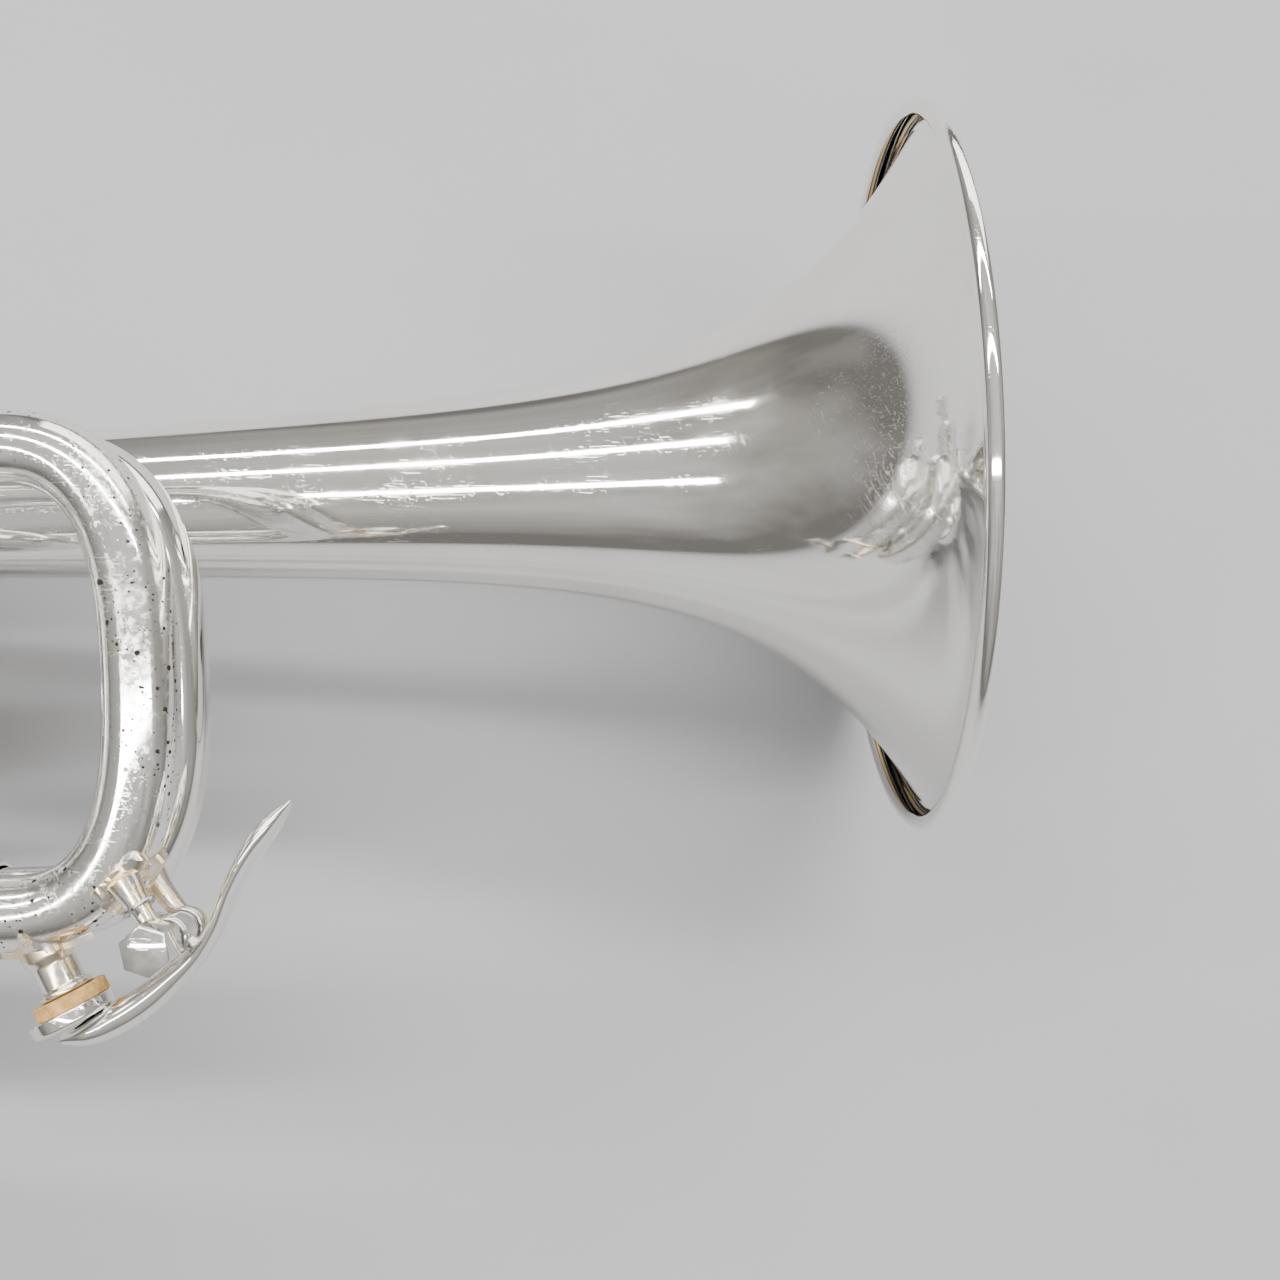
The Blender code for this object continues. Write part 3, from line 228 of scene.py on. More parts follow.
# The screw head's heights in millimetres and the share of its full width at each
HEX_LEVELS = ((0, 0.94), (0.3, 1), (4.7, 1), (4.95, 0.985), (5.12, 0.955), (5.2, 0.91))
SADDLE_EDGE_STEPS = 96
SOLDER_GAP = 0.02 * MM
NIPPLE_FLANGE = ((-7, 0), (0, 5.2), (6.4, 0), (0, -5.2))
NIPPLE_HOLLOW = 0.32
DRAIN_RADIUS = 1.5 * MM
NIPPLE_ANGLE = math.radians(-65.5)
NIPPLE_FOOT = (-130.2 * MM, -60.1 * MM)
CORK_FACE = 11.8 * MM
CORK_THICKNESS = 1.9 * MM
CORK_RADIUS = 4.8 * MM
CUP_RADIUS = 5.5 * MM
CUP_SHIFT = -0.8 * MM

LEAD_Y = BOW_MIDDLE_Y + BOW_HALF_HEIGHT
SHANK_TIP = Vector((RECEIVER_END_X + 22 * MM, LEAD_Y, NEAR_Z))
VALVES_X = tuple(THIRD_VALVE_X - VALVE_SPACING * i for i in (2, 1, 0))
FORWARD = Vector((1, 0, 0))
UP = Vector((0, 1, 0))
RIGHT = Vector((0, 0, 1))

# Wear and colours
COLOUR = "NodeSocketColor"
NUMBER = "NodeSocketFloat"
MIRROR_ROUGHNESS = 0.045
HAZE_ROUGHNESS = 0.35
SCRATCH_ROUGHNESS = 0.22
SCRATCH_STRETCH = 70
PIT_SIZE = 0.30
PIT_TINT = (0.07, 0.055, 0.045, 1)
SOLDER_TINT = (0.86, 0.66, 0.34, 1)
CORK_COLOURS = ((0.30, 0.15, 0.045), (0.62, 0.38, 0.13))
FELT_COLOURS = ((0.60, 0.57, 0.52), (0.78, 0.76, 0.71))
DARK_WALL = (0.20, 0.19, 0.18, 1)
PALE_WALL = (0.46, 0.45, 0.43, 1)
CEILING = (0.84, 0.83, 0.80, 1)

# Room and camera
FLOOR_HALF = 3.0
LIGHTS_MIDDLE = FORWARD * 0.12
LENS = 37.15
SENSOR = 36
CAMERA_ROLL = 0.035
CAMERA_PLACE = Vector((-47.05, -26.37, 225.1)) * MM


def joint_vector(name, key):
    return next(Vector(joint[key]) for joint in frame["joints"] if joint["name"] == name)


def instrument_place():
    """The matrix from the instrument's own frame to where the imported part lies."""
    ahead = -joint_vector("mouthpiece_pull", "axis")
    upward = -joint_vector("valve_1_press", "axis")
    right = joint_vector("water_key_open", "axis")
    hinge = joint_vector("water_key_open", "pos_m")
    place = Matrix((ahead, upward, right)).transposed().to_4x4()
    place.translation = hinge - ahead * HINGE_X - upward * HINGE_Y - right * NEAR_Z
    return place


PLACE = instrument_place()


def point(x, y, z):
    """A point given in millimetres."""
    return Vector((x, y, z)) * MM


def across(direction):
    """Two unit vectors square to a direction and to each other."""
    helper = RIGHT if abs(direction.dot(RIGHT)) < 0.9 else UP
    first = (helper - direction * helper.dot(direction)).normalized()
    return first, direction.cross(first)


def tangents(path):
    found = []
    for i in range(len(path)):
        before = path[max(i - 1, 0)]
        after = path[min(i + 1, len(path) - 1)]
        found.append((after - before).normalized())
    return found


def travelling_frames(path):
    """At each point the two directions square to the path, carried along it without twist."""
    directions = tangents(path)
    first, second = across(directions[0])
    frames = [(first, second)]
    for before, now in zip(directions, directions[1:]):
        turn = before.rotation_difference(now)
        first = turn @ first
        first = (first - now * first.dot(now)).normalized()
        frames.append((first, now.cross(first)))
    return frames


def ring(centre, pair, width, height, sides):
    """Points on an ellipse round a centre, turned by half a side so that flats face the axes."""
    first, second = pair
    points = []
    for i in range(sides):
        angle = 2 * math.pi * (i + 0.5) / sides
        points.append(centre + first * width * math.cos(angle) + second * height * math.sin(angle))
    return points


def per_point(value, path):
    """One value for each point of a path."""
    return value if isinstance(value, (list, tuple)) else [value] * len(path)


def add_loft(mesh, rings, closed):
    """Skins a row of rings. A ring of one point is a pole, and closed joins the last ring to the first."""
    rows = [[mesh.verts.new(co) for co in points] for points in rings]
    pairs = list(zip(rows, rows[1:]))
    if closed:
        pairs.append((rows[-1], rows[0]))
    for low, high in pairs:
        sides = max(len(low), len(high))
        for i in range(sides):
            j = (i + 1) % sides
            corners = [low[i % len(low)], low[j % len(low)], high[j % len(high)], high[i % len(high)]]
            mesh.faces.new(list(dict.fromkeys(corners)))
    if not closed:
        for row in (rows[0], rows[-1]):
            if len(row) > 2:
                mesh.faces.new(row)


def tube_piece(
    name, path, outer, bore, body, look=SILVER, start_casing=None, end_casing=None, start_at=CLEAR
):
    """A hollow tube along a path. Radii are one number or one for each point of the path.
    An end that meets a valve casing is mitred to the casing's round wall."""
    frames = travelling_frames(path)
    directions = tangents(path)
    skins = []
    for radii in (per_point(outer, path), per_point(bore, path)):
        skin = [ring(p, f, r, r, TUBE_SIDES) for p, f, r in zip(path, frames, radii)]
        if start_casing is not None:
            skin[0] = [mitred(p, -directions[0], start_casing, start_at) for p in skin[0]]
        if end_casing is not None:
            skin[-1] = [mitred(p, directions[-1], end_casing, CLEAR) for p in skin[-1]]
        skins.append(skin)
    mesh = bmesh.new()
    add_loft(mesh, skins[0] + skins[1][::-1], closed=True)
    return finish(name, mesh, look, body)


def mitred(corner, direction, valve_x, clearance):
    """Where the line from a corner along a direction comes this close to a valve's axis."""
    from_axis = Vector((corner.x - valve_x, 0, corner.z - VALVE_Z))
    flat = Vector((direction.x, 0, direction.z))
    a = flat.dot(flat)
    b = from_axis.dot(flat)
    c = from_axis.dot(from_axis) - clearance**2
    return corner + direction * ((-b - math.sqrt(b * b - a * c)) / a)


def add_rod(mesh, path, widths, heights=None, sides=TUBE_SIDES):
    """A solid rod along a path, round or oval."""
    widths = per_point(widths, path)
    heights = per_point(heights, path) if heights else widths
    sizes = zip(path, travelling_frames(path), widths, heights)
    rings = [ring(centre, pair, wide, high, sides) for centre, pair, wide, high in sizes]
    add_loft(mesh, rings, closed=False)


def rod_piece(name, path, widths, body, heights=None, sides=TUBE_SIDES, look=SILVER):
    mesh = bmesh.new()
    add_rod(mesh, path, widths, heights, sides)
    return finish(name, mesh, look, body)


def hoop_piece(name, centre, axis, radius, wire, steps, sides, body, look=SILVER):
    """A closed ring of round wire."""
    first, second = across(axis)
    rings = []
    for i in range(steps):
        angle = 2 * math.pi * (i + 0.5) / steps
        outward = first * math.cos(angle) + second * math.sin(angle)
        rings.append(ring(centre + outward * radius, (outward, axis), wire, wire, sides))
    mesh = bmesh.new()
    add_loft(mesh, rings, closed=True)
    return finish(name, mesh, look, body)


def add_turned(mesh, outline, origin, axis, sides):
    """A turned solid. The outline lists (distance along the axis, radius); one that starts and ends on
    the axis is solid, and any other closes on itself round a bore."""
    pair = across(axis)
    rings = []
    for along, radius in outline:
        centre = origin + axis * along
        rings.append([centre] if radius == 0 else ring(centre, pair, radius, radius, sides))
    add_loft(mesh, rings, closed=outline[0][1] > 0)


def softened(outline, radius=0.25 * MM):
    """The same outline with its corners rounded off, as every turned edge is."""
    hollow = outline[0][1] > 0
    found = []
    for i, corner in enumerate(outline):
        if not hollow and i in (0, len(outline) - 1):
            found.append(corner)
            continue
        here = Vector(corner)
        back = Vector(outline[i - 1]) - here
        ahead = Vector(outline[(i + 1) % len(outline)]) - here
        start = here + back * min(radius / back.length, CORNER_SHARE)
        end = here + ahead * min(radius / ahead.length, CORNER_SHARE)
        for step in range(CORNER_STEPS + 1):
            along = step / CORNER_STEPS
            found.append(start.lerp(here, along).lerp(here.lerp(end, along), along))
    return found


def turned_piece(name, outline, origin, axis, sides, body, look=SILVER):
    mesh = bmesh.new()
    add_turned(mesh, softened(outline), origin, axis, sides)
    return finish(name, mesh, look, body)


def finish(name, mesh, look, body, crease=CREASE):
    """Makes the mesh a piece that rides on a body, in place of the plain node of the same name."""
    mesh.transform(PLACE)
    bmesh.ops.recalc_face_normals(mesh, faces=mesh.faces)
    data = bpy.data.meshes.new(name)
    mesh.to_mesh(data)
    mesh.free()
    data.shade_smooth()
    data.set_sharp_from_angle(angle=math.radians(crease))
    data.materials.append(LOOKS[look])
    obj = bpy.data.objects.new(name + "_finished", data)
    bpy.context.scene.collection.objects.link(obj)
    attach(obj, body)
    if name in frame["nodes"]:
        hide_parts(name)
    return obj


def combine(obj, operation, helper):
    """Unites, intersects or cuts an object with a helper that is then thrown away."""
    modifier = obj.modifiers.new("shape", "BOOLEAN")
    modifier.operation = operation
    modifier.solver = "EXACT"
    modifier.object = helper
    bpy.context.view_layer.update()
    graph = bpy.context.evaluated_depsgraph_get()
    shaped = bpy.data.meshes.new_from_object(obj.evaluated_get(graph))
    obj.modifiers.clear()
    obj.data = shaped
    shaped.set_sharp_from_angle(angle=math.radians(CREASE))
    bpy.data.objects.remove(helper)


def add_block(mesh, centre, size):
    """A box of this size along the instrument's three directions."""
    a, b, c = (direction * length / 2 for direction, length in zip((FORWARD, UP, RIGHT), size))
    around = ((-1, -1), (1, -1), (1, 1), (-1, 1))
    add_loft(mesh, [[centre + a * i + b * j + c * k for i, j in around] for k in (-1, 1)], closed=False)


# ---- bell


def bell_radius(back):
    """Outer radius of the bell at a distance back from its mouth: a long taper, a flare and a lip."""
    back = back / MM
    taper = MOUTH_TAPER - TAPER_SLOPE * back
    flare = FLARE_RISE * math.exp(-back / FLARE_REACH)
    return (taper + flare + LIP_RISE * math.exp(-back / LIP_REACH)) * MM


def bell_wall(back, offset):
    """A point (back, radius) on the sheet, offset inwards square to it."""
    step = 0.05 * MM
    slope = (bell_radius(back + step) - bell_radius(back)) / step
    length = math.hypot(1, slope)
    return back + offset * slope / length, bell_radius(back) - offset / length


def bead_arc(radius, start, end, steps):
    """Points round the rolled bead, from one angle to another, measured from straight out."""
    found = []
    for i in range(steps + 1):
        angle = math.radians(start + (end - start) * i / steps)
        back = BEAD_RADIUS - radius * math.sin(angle)
        found.append((back, RIM_RADIUS - BEAD_RADIUS + radius * math.cos(angle)))
    return found


def build_bell(body):
    """The sheet, outside and inside, and the bead that its edge is rolled into."""
    length = BELL_LENGTH - SHEET_START
    backs = [SHEET_START + length * (i / BELL_STEPS) ** FLARE_CROWDING for i in range(BELL_STEPS + 1)]
    outside = [bell_wall(back, 0) for back in backs[::-1]]
    inside = [bell_wall(back, SHEET) for back in backs]
    curl_out = bead_arc(BEAD_RADIUS, *BEAD_ANGLES, steps=24)
    curl_in = bead_arc(BEAD_RADIUS - SHEET, *BEAD_ANGLES[::-1], steps=16)
    mesh = bmesh.new()
    add_turned(mesh, outside + curl_in + curl_out + inside, Vector(), -FORWARD, BELL_SIDES)
    finish("bell", mesh, SILVER, body)


def build_rim_wire(body):
    """The wire that the rim is rolled round."""
    centre = Vector((-BEAD_RADIUS, 0, 0))
    hoop_piece("rim_wire", centre, FORWARD, RIM_RADIUS - BEAD_RADIUS, RIM_WIRE, BELL_SIDES, 12, body, BRASS)


def half_turn(centre, out, side, steps):
    """Points of a half circle from centre + side round past centre + out to centre - side."""
    found = []
    for i in range(steps + 1):
        angle = math.pi * i / steps
        found.append(centre + side * math.cos(angle) + out * side.length * math.sin(angle))
    return found


def rear_bow_path():
    """From the bell's tail, round and forward again to the first valve."""
    top = Vector((REAR_BOW_X, 0, 0))
    bottom = Vector((REAR_BOW_X, BELL_PORT_Y, VALVE_Z))
    middle = (top + bottom) / 2 - FORWARD * 5 * MM
    curve = half_turn(middle, -FORWARD, (top - bottom) / 2, 36)
    return [top] + curve + [Vector((VALVES_X[0] - CASING_RADIUS - 2 * MM, BELL_PORT_Y, VALVE_Z))]


def build_rear_bow(body):
    path = rear_bow_path()
    tail = bell_radius(-REAR_BOW_X)
    outer = [tail + (REAR_BOW_RADIUS - tail) * i / (len(path) - 1) for i in range(len(path))]
    bore = [radius - TUBE_WALL for radius in outer]
    tube_piece("bell_bow", path, outer, bore, body, end_casing=VALVES_X[0])


def build_ferrule(name, place, length, bore, wall, body):
    """The ring over a joint between two tubes, with a raised bead round each end."""
    half = length / 2
    inner = half - 1.6 * MM
    radius = bore + wall
    raised = radius + 0.5 * MM
    outline = [
        (-half, bore),
        (-half, raised),
        (-inner, raised),
        (-inner, radius),
        (inner, radius),
        (inner, raised),
        (half, raised),
        (half, bore),
    ]
    turned_piece(name, outline, place, FORWARD, FERRULE_SIDES, body)


def build_bell_ferrule(body):
    bore = bell_radius(-REAR_BOW_X - 6 * MM) + GAP
    build_ferrule("bell_ferrule", Vector((REAR_BOW_X, 0, 0)), 8 * MM, bore, 0.5 * MM, body)


# ---- lead pipe and front bows


def bow_curve(z, drop):
    """The squarish loop of a front bow, from its upper arm to its lower one."""
    found = []
    for i in range(BOW_STEPS + 1):
        angle = math.pi / 2 - math.pi * i / BOW_STEPS
        reach = abs(math.cos(angle)) ** (2 / BOW_SQUARENESS)
        height = math.copysign(abs(math.sin(angle)) ** (2 / BOW_SQUARENESS), angle)
        y = BOW_MIDDLE_Y - drop + BOW_HALF_HEIGHT * height
        found.append(Vector((BOW_START_X + BOW_REACH * reach, y, z)))
    return found


def build_bow(name, z, drop, arm_ends, look, body):
    curve = bow_curve(z, drop)
    start = Vector((arm_ends[0], curve[0].y, z))
    end = Vector((arm_ends[1], curve[-1].y, z))
    return tube_piece(name, [start] + curve + [end], LEAD_RADIUS, LEAD_RADIUS - TUBE_WALL, body, look)


def build_bows(body):
    """The near bow takes the lead pipe's air down to the tuning slide, and the far one takes it on to
    the valves. The near one is drilled for the water key."""
    in_sleeve = TUNING_SLEEVE_X[0] - 4 * MM
    near = build_bow("near_bow", NEAR_Z, 0, (NEAR_JOINT_X, in_sleeve), PITTED, body)
    build_bow("far_bow", FAR_Z, FAR_DROP, (in_sleeve, FAR_JOINT_X), SILVER, body)
    combine(near, "DIFFERENCE", drain_drill("drain_hole", 9 * MM, body))


def build_bow_ferrule(name, x, y, z, body):
    """The ring that joins a bow's arm to the tube behind it."""
    build_ferrule(name, Vector((x, y, z)), 9 * MM, LEAD_RADIUS + GAP, 0.3 * MM, body)


def build_leadpipe(body):
    front = Vector((NEAR_JOINT_X - GAP, LEAD_Y, NEAR_Z))
    rear = Vector((RECEIVER_FRONT_X - 12 * MM, LEAD_Y, NEAR_Z))
    bore = [LEAD_RADIUS - TUBE_WALL, LEAD_RADIUS - 0.8 * MM]
    tube_piece("leadpipe", [front, rear], LEAD_RADIUS, bore, body)


def build_receiver(body):
    """The socket at the player's end, bored for the lead pipe in front and tapered for the shank."""
    length = RECEIVER_FRONT_X - RECEIVER_END_X
    step = 13 * MM
    ring_foot = length - 8 * MM
    slim = 5.9 * MM
    full = 6.3 * MM
    outline = [
        (0, LEAD_RADIUS + GAP),
        (0, full),
        (3 * MM, full),
        (3 * MM, slim),
        (ring_foot, full),
        (ring_foot, 7.2 * MM),
        (length, 7.2 * MM),
        (length, 5.1 * MM),
        (step, 4.65 * MM),
        (step, LEAD_RADIUS + GAP),
    ]
    place = Vector((RECEIVER_FRONT_X, LEAD_Y, NEAR_Z))
    turned_piece("mouthpiece_receiver", outline, place, -FORWARD, CASING_SIDES, body)


def build_mouthpiece(body):
    """Shank, backbore, cup and rim, turned in one."""
    outline = [(along * MM, radius * MM) for along, radius in MOUTHPIECE_OUTSIDE + MOUTHPIECE_INSIDE]
    mesh = bmesh.new()
    add_turned(mesh, softened(outline, 3 * MM), SHANK_TIP, -FORWARD, CASING_SIDES)
    finish("mouthpiece", mesh, SILVER, body)


def build_entry_tube(body):
    """Runs back from the far bow's lower arm and bends in to the third valve."""
    inward = Vector((math.cos(ENTRY_ANGLE), 0, math.sin(ENTRY_ANGLE)))
    corner_x = THIRD_VALVE_X + (FAR_Z - VALVE_Z) / math.tan(ENTRY_ANGLE)
    corner = Vector((corner_x, MAIN_PORT_Y, FAR_Z))
    bend = 7 * MM
    steps = 24
    path = [Vector((FAR_JOINT_X - GAP, MAIN_PORT_Y, FAR_Z))]
    for i in range(steps + 1):
        along = i / steps
        before = corner + FORWARD * bend * (1 - along)
        after = corner - inward * bend * along
        path.append(before.lerp(after, along))
    path.append(corner - inward * (bend + 1 * MM))
    bore = LEAD_RADIUS - TUBE_WALL
    tube_piece("valve_entry_tube", path, LEAD_RADIUS, bore, body, end_casing=THIRD_VALVE_X)


# ---- slides


def sleeve_piece(name, start, direction, length, casing_x, body):
    """A slide's outer tube, with a raised bead round its open end."""
    bead = length - 2 * MM
    path = [start + direction * along for along in (0, bead, bead + STEP, length)]
    outer = [SLEEVE_RADIUS, SLEEVE_RADIUS, SLEEVE_RADIUS + BEAD_RISE, SLEEVE_RADIUS + BEAD_RISE]
    return tube_piece(name, path, outer, SLEEVE_BORE, body, start_casing=casing_x)


def crook_piece(name, tops, direction, leg_start, collar, body):
    """Two inner legs, their stop collars and the half turn that joins them, one bent tube.
    The legs start and the collars stand at distances along the direction from the two tops."""
    upper, lower = tops
    bend_start = collar + COLLAR_LENGTH
    middle = (upper + lower) / 2 + direction * bend_start
    turn = half_turn(middle, direction, (upper - lower) / 2, CROOK_STEPS)
    stations = (leg_start, collar, collar + STEP, bend_start - STEP)
    radii = [LEG_RADIUS, LEG_RADIUS, SLEEVE_RADIUS, SLEEVE_RADIUS]
    down = [upper + direction * along for along in stations]
    back = [lower + direction * along for along in stations[::-1]]
    outer = radii + [CROOK_RADIUS] * len(turn) + radii[::-1]
    return tube_piece(name, down + turn + back, outer, LEG_BORE, body)


def slide_direction(number):
    """Which way each valve's slide points: back and a little out, straight out, and forward."""
    if number == 1:
        return Vector((math.cos(FIRST_SLIDE_ANGLE), 0, math.sin(FIRST_SLIDE_ANGLE)))
    return RIGHT if number == 2 else FORWARD


def slide_tops(number):
    """The points on the valve's axis that the two legs of its slide point at."""
    return [Vector((VALVES_X[number - 1], y, VALVE_Z)) for y in SLIDE_PORTS_Y]


def build_valve_slide(number, name, fixed, moving):
    """Two sleeves with a stay between them on a valve casing, and the crook that slides in them."""
    tops = slide_tops(number)
    direction = slide_direction(number)
    sleeve_end = SLEEVE_LENGTHS[number - 1]
    foot = CASING_RADIUS + 1 * MM
    pieces = []
    for part, top in zip(("upper", "lower"), tops):
        start = top + direction * foot
        sleeve_name = f"{name}_{part}_sleeve"
        casing_x = VALVES_X[number - 1]
        pieces.append(sleeve_piece(sleeve_name, start, direction, sleeve_end - foot, casing_x, fixed))
    reach = (tops[0] - tops[1]).length / 2 - STAY_REACH * math.cos(math.pi / TUBE_SIDES)
    middle = (tops[0] + tops[1]) / 2 + direction * (sleeve_end - 5 * MM)
    stay = rod_piece(name + "_stay", [middle - UP * reach, middle + UP * reach], 1.3 * MM, fixed, sides=32)
    combine(pieces[0], "UNION", stay)
    combine(pieces[0], "UNION", pieces[1])
    pieces[0].name = name + "_sleeves_finished"
    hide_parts(name + "_sleeves")
    collar = sleeve_end + GAP
    crook = crook_piece(name + "_crook", tops, direction, CASING_RADIUS + 1.5 * MM, collar, moving)
    if number == 3:
        build_third_ring(moving)
        return
    middle = (tops[0] + tops[1]) / 2
    reach = collar + COLLAR_LENGTH + (tops[0] - tops[1]).length / 2 + CROOK_RADIUS - 0.4 * MM
    knob = turned_piece(name + "_knob", KNOB, middle + direction * reach, direction, FERRULE_SIDES, moving)
    combine(crook, "UNION", knob)


def build_third_ring(body):
    """The finger ring on its little foot, on top of the third slide's upper leg."""
    x = VALVES_X[2] + SLEEVE_LENGTHS[2] + GAP + COLLAR_LENGTH / 2
    foot = Vector((x, SLIDE_PORTS_Y[0] + SLEEVE_RADIUS + GAP, VALVE_Z))
    centre = foot + UP * (THIRD_RING_RADIUS + 2 * MM)
    wire = 1.5 * MM
    ring_piece = hoop_piece("third_slide_ring", centre, RIGHT, THIRD_RING_RADIUS, wire, 96, 24, body)
    outline = [(0, 0), (0, 1.9 * MM), (1.3 * MM, 1.2 * MM), (1.3 * MM, 0)]
    foot_piece = turned_piece("third_slide_ring_foot", outline, foot, UP, FERRULE_SIDES, body)
    combine(ring_piece, "UNION", foot_piece)


def tuning_tops():
    upper = Vector((0, LEAD_Y - FAR_DROP, FAR_Z))
    lower = Vector((0, BOW_MIDDLE_Y - BOW_HALF_HEIGHT, NEAR_Z))
    return upper, lower


def build_tuning_slide(fixed, moving):
    """Sleeves behind the near bow's lower arm and the far bow's upper one, and the crook between them."""
    front, rear = TUNING_SLEEVE_X
    length = front - rear
    shoulder = 4.5 * MM
    bead = 2 * MM
    last = length - bead
    stations = (0, bead, bead + STEP, shoulder, shoulder + STEP, last, last + STEP, length)
    raised = [SLEEVE_RADIUS + BEAD_RISE] * 2
    outer = raised + [SLEEVE_RADIUS] * 4 + raised
    bore = [LEAD_RADIUS + GAP] * 4 + [SLEEVE_BORE] * 4
    for name, top in zip(("tuning_sleeve_upper", "tuning_sleeve_lower"), tuning_tops()):
        tube_piece(name, [top + FORWARD * (front - along) for along in stations], outer, bore, fixed)
    crook_piece("tuning_slide_crook", tuning_tops(), -FORWARD, 8 * MM - front, GAP - rear, moving)
    build_tuning_brace(moving)


def build_tuning_brace(body):
    """A turned rod between the two arms of the tuning crook."""
    upper, lower = tuning_tops()
    middle = (upper + lower) / 2 + FORWARD * (TUNING_SLEEVE_X[1] - GAP - COLLAR_LENGTH)
    side = (upper - lower) / 2
    reach = side.length - SLEEVE_RADIUS - 4 * GAP
    half = [
        (-reach, 0),
        (-reach, 3 * MM),
        (-reach + 1.5 * MM, 1.5 * MM),
        (-4 * MM, 1.3 * MM),
        (0, 2.2 * MM),
    ]
    outline = half + [(-along, radius) for along, radius in half[-2::-1]]
    place = middle - FORWARD * 2 * MM
    turned_piece("tuning_slide_brace", outline, place, side.normalized(), FERRULE_SIDES, body)


# ---- valves


def through_ports(number):
    """Height and direction of the way in and the way out of a valve at rest."""
    entry = Vector((math.cos(ENTRY_ANGLE), 0, math.sin(ENTRY_ANGLE)))
    way_in = (MAIN_PORT_Y, entry) if number == 3 else (KNUCKLE_Y, FORWARD)
    way_out = (BELL_PORT_Y, -FORWARD) if number == 1 else (KNUCKLE_Y, -FORWARD)
    return way_in, way_out


def valve_foot(number):
    return Vector((VALVES_X[number - 1], 0, VALVE_Z))


def build_casing(number, body):
    """A tube with a wider head, where the valve guide rests on the step inside. The first two casings
    carry the short knuckle that joins them to the valve in front."""
    outline = [
        (CASING_BOTTOM, CASING_BORE),
        (CASING_BOTTOM, CASING_RADIUS),
        (HEAD_FOOT, CASING_RADIUS),
        (HEAD_FOOT, HEAD_RADIUS),
        (CASING_TOP, HEAD_RADIUS),
        (CASING_TOP, HEAD_BORE),
        (GUIDE_Y - GAP, HEAD_BORE),
        (GUIDE_Y - GAP, CASING_BORE),
    ]
    casing = turned_piece(f"valve_casing_{number}", outline, valve_foot(number), UP, CASING_SIDES, body)
    if number < 3:
        combine(casing, "UNION", knuckle_piece(number, body))
    plugs = bmesh.new()
    for y, direction in [(y, slide_direction(number)) for y in SLIDE_PORTS_Y] + list(through_ports(number)):
        middle = valve_foot(number) + UP * y
        add_rod(plugs, [middle + direction * 6.8 * MM, middle + direction * 12 * MM], PORT_RADIUS, sides=40)
    combine(casing, "DIFFERENCE", finish(f"casing_ports_{number}", plugs, SILVER, body))


def knuckle_piece(number, body):
    """The short tube from a casing to the next one in front, sunk a little into its own."""
    back, front = VALVES_X[number - 1 : number + 1]
    start = Vector((back + CASING_RADIUS + 1 * MM, KNUCKLE_Y, VALVE_Z))
    path = [start, start + FORWARD * 3 * MM]
    bore = PORT_RADIUS + 0.25 * MM
    sunk = CASING_RADIUS - 0.3 * MM
    name = f"knuckle_{number}"
    return tube_piece(name, path, 5.6 * MM, bore, body, start_casing=back, end_casing=front, start_at=sunk)


def add_passage(mesh, number, start, end):
    """A bent bore through the piston between two of its ports, each a (height, direction)."""
    (start_y, start_way), (end_y, end_way) = start, end
    reach = PISTON_RADIUS + 2 * MM
    foot = valve_foot(number)
    elbow = (start_way + end_way) * reach * ELBOW_SHARE
    path = [
        foot + UP * start_y + start_way * reach,
        foot + UP * (start_y + end_y) / 2 + elbow,
        foot + UP * end_y + end_way * reach,
    ]
    add_rod(mesh, path, PASSAGE_RADIUS, sides=40)


def build_piston(number, body):
    """A solid body with its passages, and above it the spring's barrel, slotted for the guide."""
    outline = [
        (PISTON_BOTTOM, 0),
        (PISTON_BOTTOM, PISTON_RADIUS),
        (BARREL_TOP, PISTON_RADIUS),
        (BARREL_TOP, STEM_RADIUS + GAP),
        (BARREL_LID, STEM_RADIUS + GAP),
        (BARREL_LID, BARREL_BORE),
        (BARREL_FLOOR, BARREL_BORE),
        (BARREL_FLOOR, 0),
    ]
    piston = turned_piece(f"piston_{number}", outline, valve_foot(number), UP, CASING_SIDES, body, ALLOY)
    way_in, way_out = through_ports(number)
    slide = slide_direction(number)
    upper, lower = ((y + STROKE, slide) for y in SLIDE_PORTS_Y)
    in_goes, out_goes = (upper, lower) if number == 1 else (lower, upper)
    mesh = bmesh.new()
    add_passage(mesh, number, way_in, way_out)
    add_passage(mesh, number, (way_in[0] + STROKE, way_in[1]), in_goes)
    add_passage(mesh, number, (way_out[0] + STROKE, way_out[1]), out_goes)
    slot_length = STROKE + 4 * MM
    slot_middle = valve_foot(number) + UP * (GUIDE_Y - 1 * MM + slot_length / 2)
    add_block(mesh, slot_middle, (4.6 * MM, slot_length, 20 * MM))
    combine(piston, "DIFFERENCE", finish(f"piston_passages_{number}", mesh, ALLOY, body))


def build_guide(number, body):
    """The bar that rests on the step in the casing, holds the spring and keeps the piston from turning."""
    mesh = bmesh.new()
    middle = valve_foot(number) + UP * (GUIDE_Y + GUIDE_THICK / 2)
    add_block(mesh, middle, (3.2 * MM, GUIDE_THICK, 17.6 * MM))
    finish(f"valve_guide_{number}", mesh, BRASS, body)


def coil(centre, axis, radius, height, turns, steps):
    """Points of a helix that rises from a centre along an axis."""
    first, second = across(axis)
    found = []
    for i in range(turns * steps + 1):
        angle = 2 * math.pi * i / steps
        rise = height * i / (turns * steps)
        found.append(centre + axis * rise + (first * math.cos(angle) + second * math.sin(angle)) * radius)
    return found


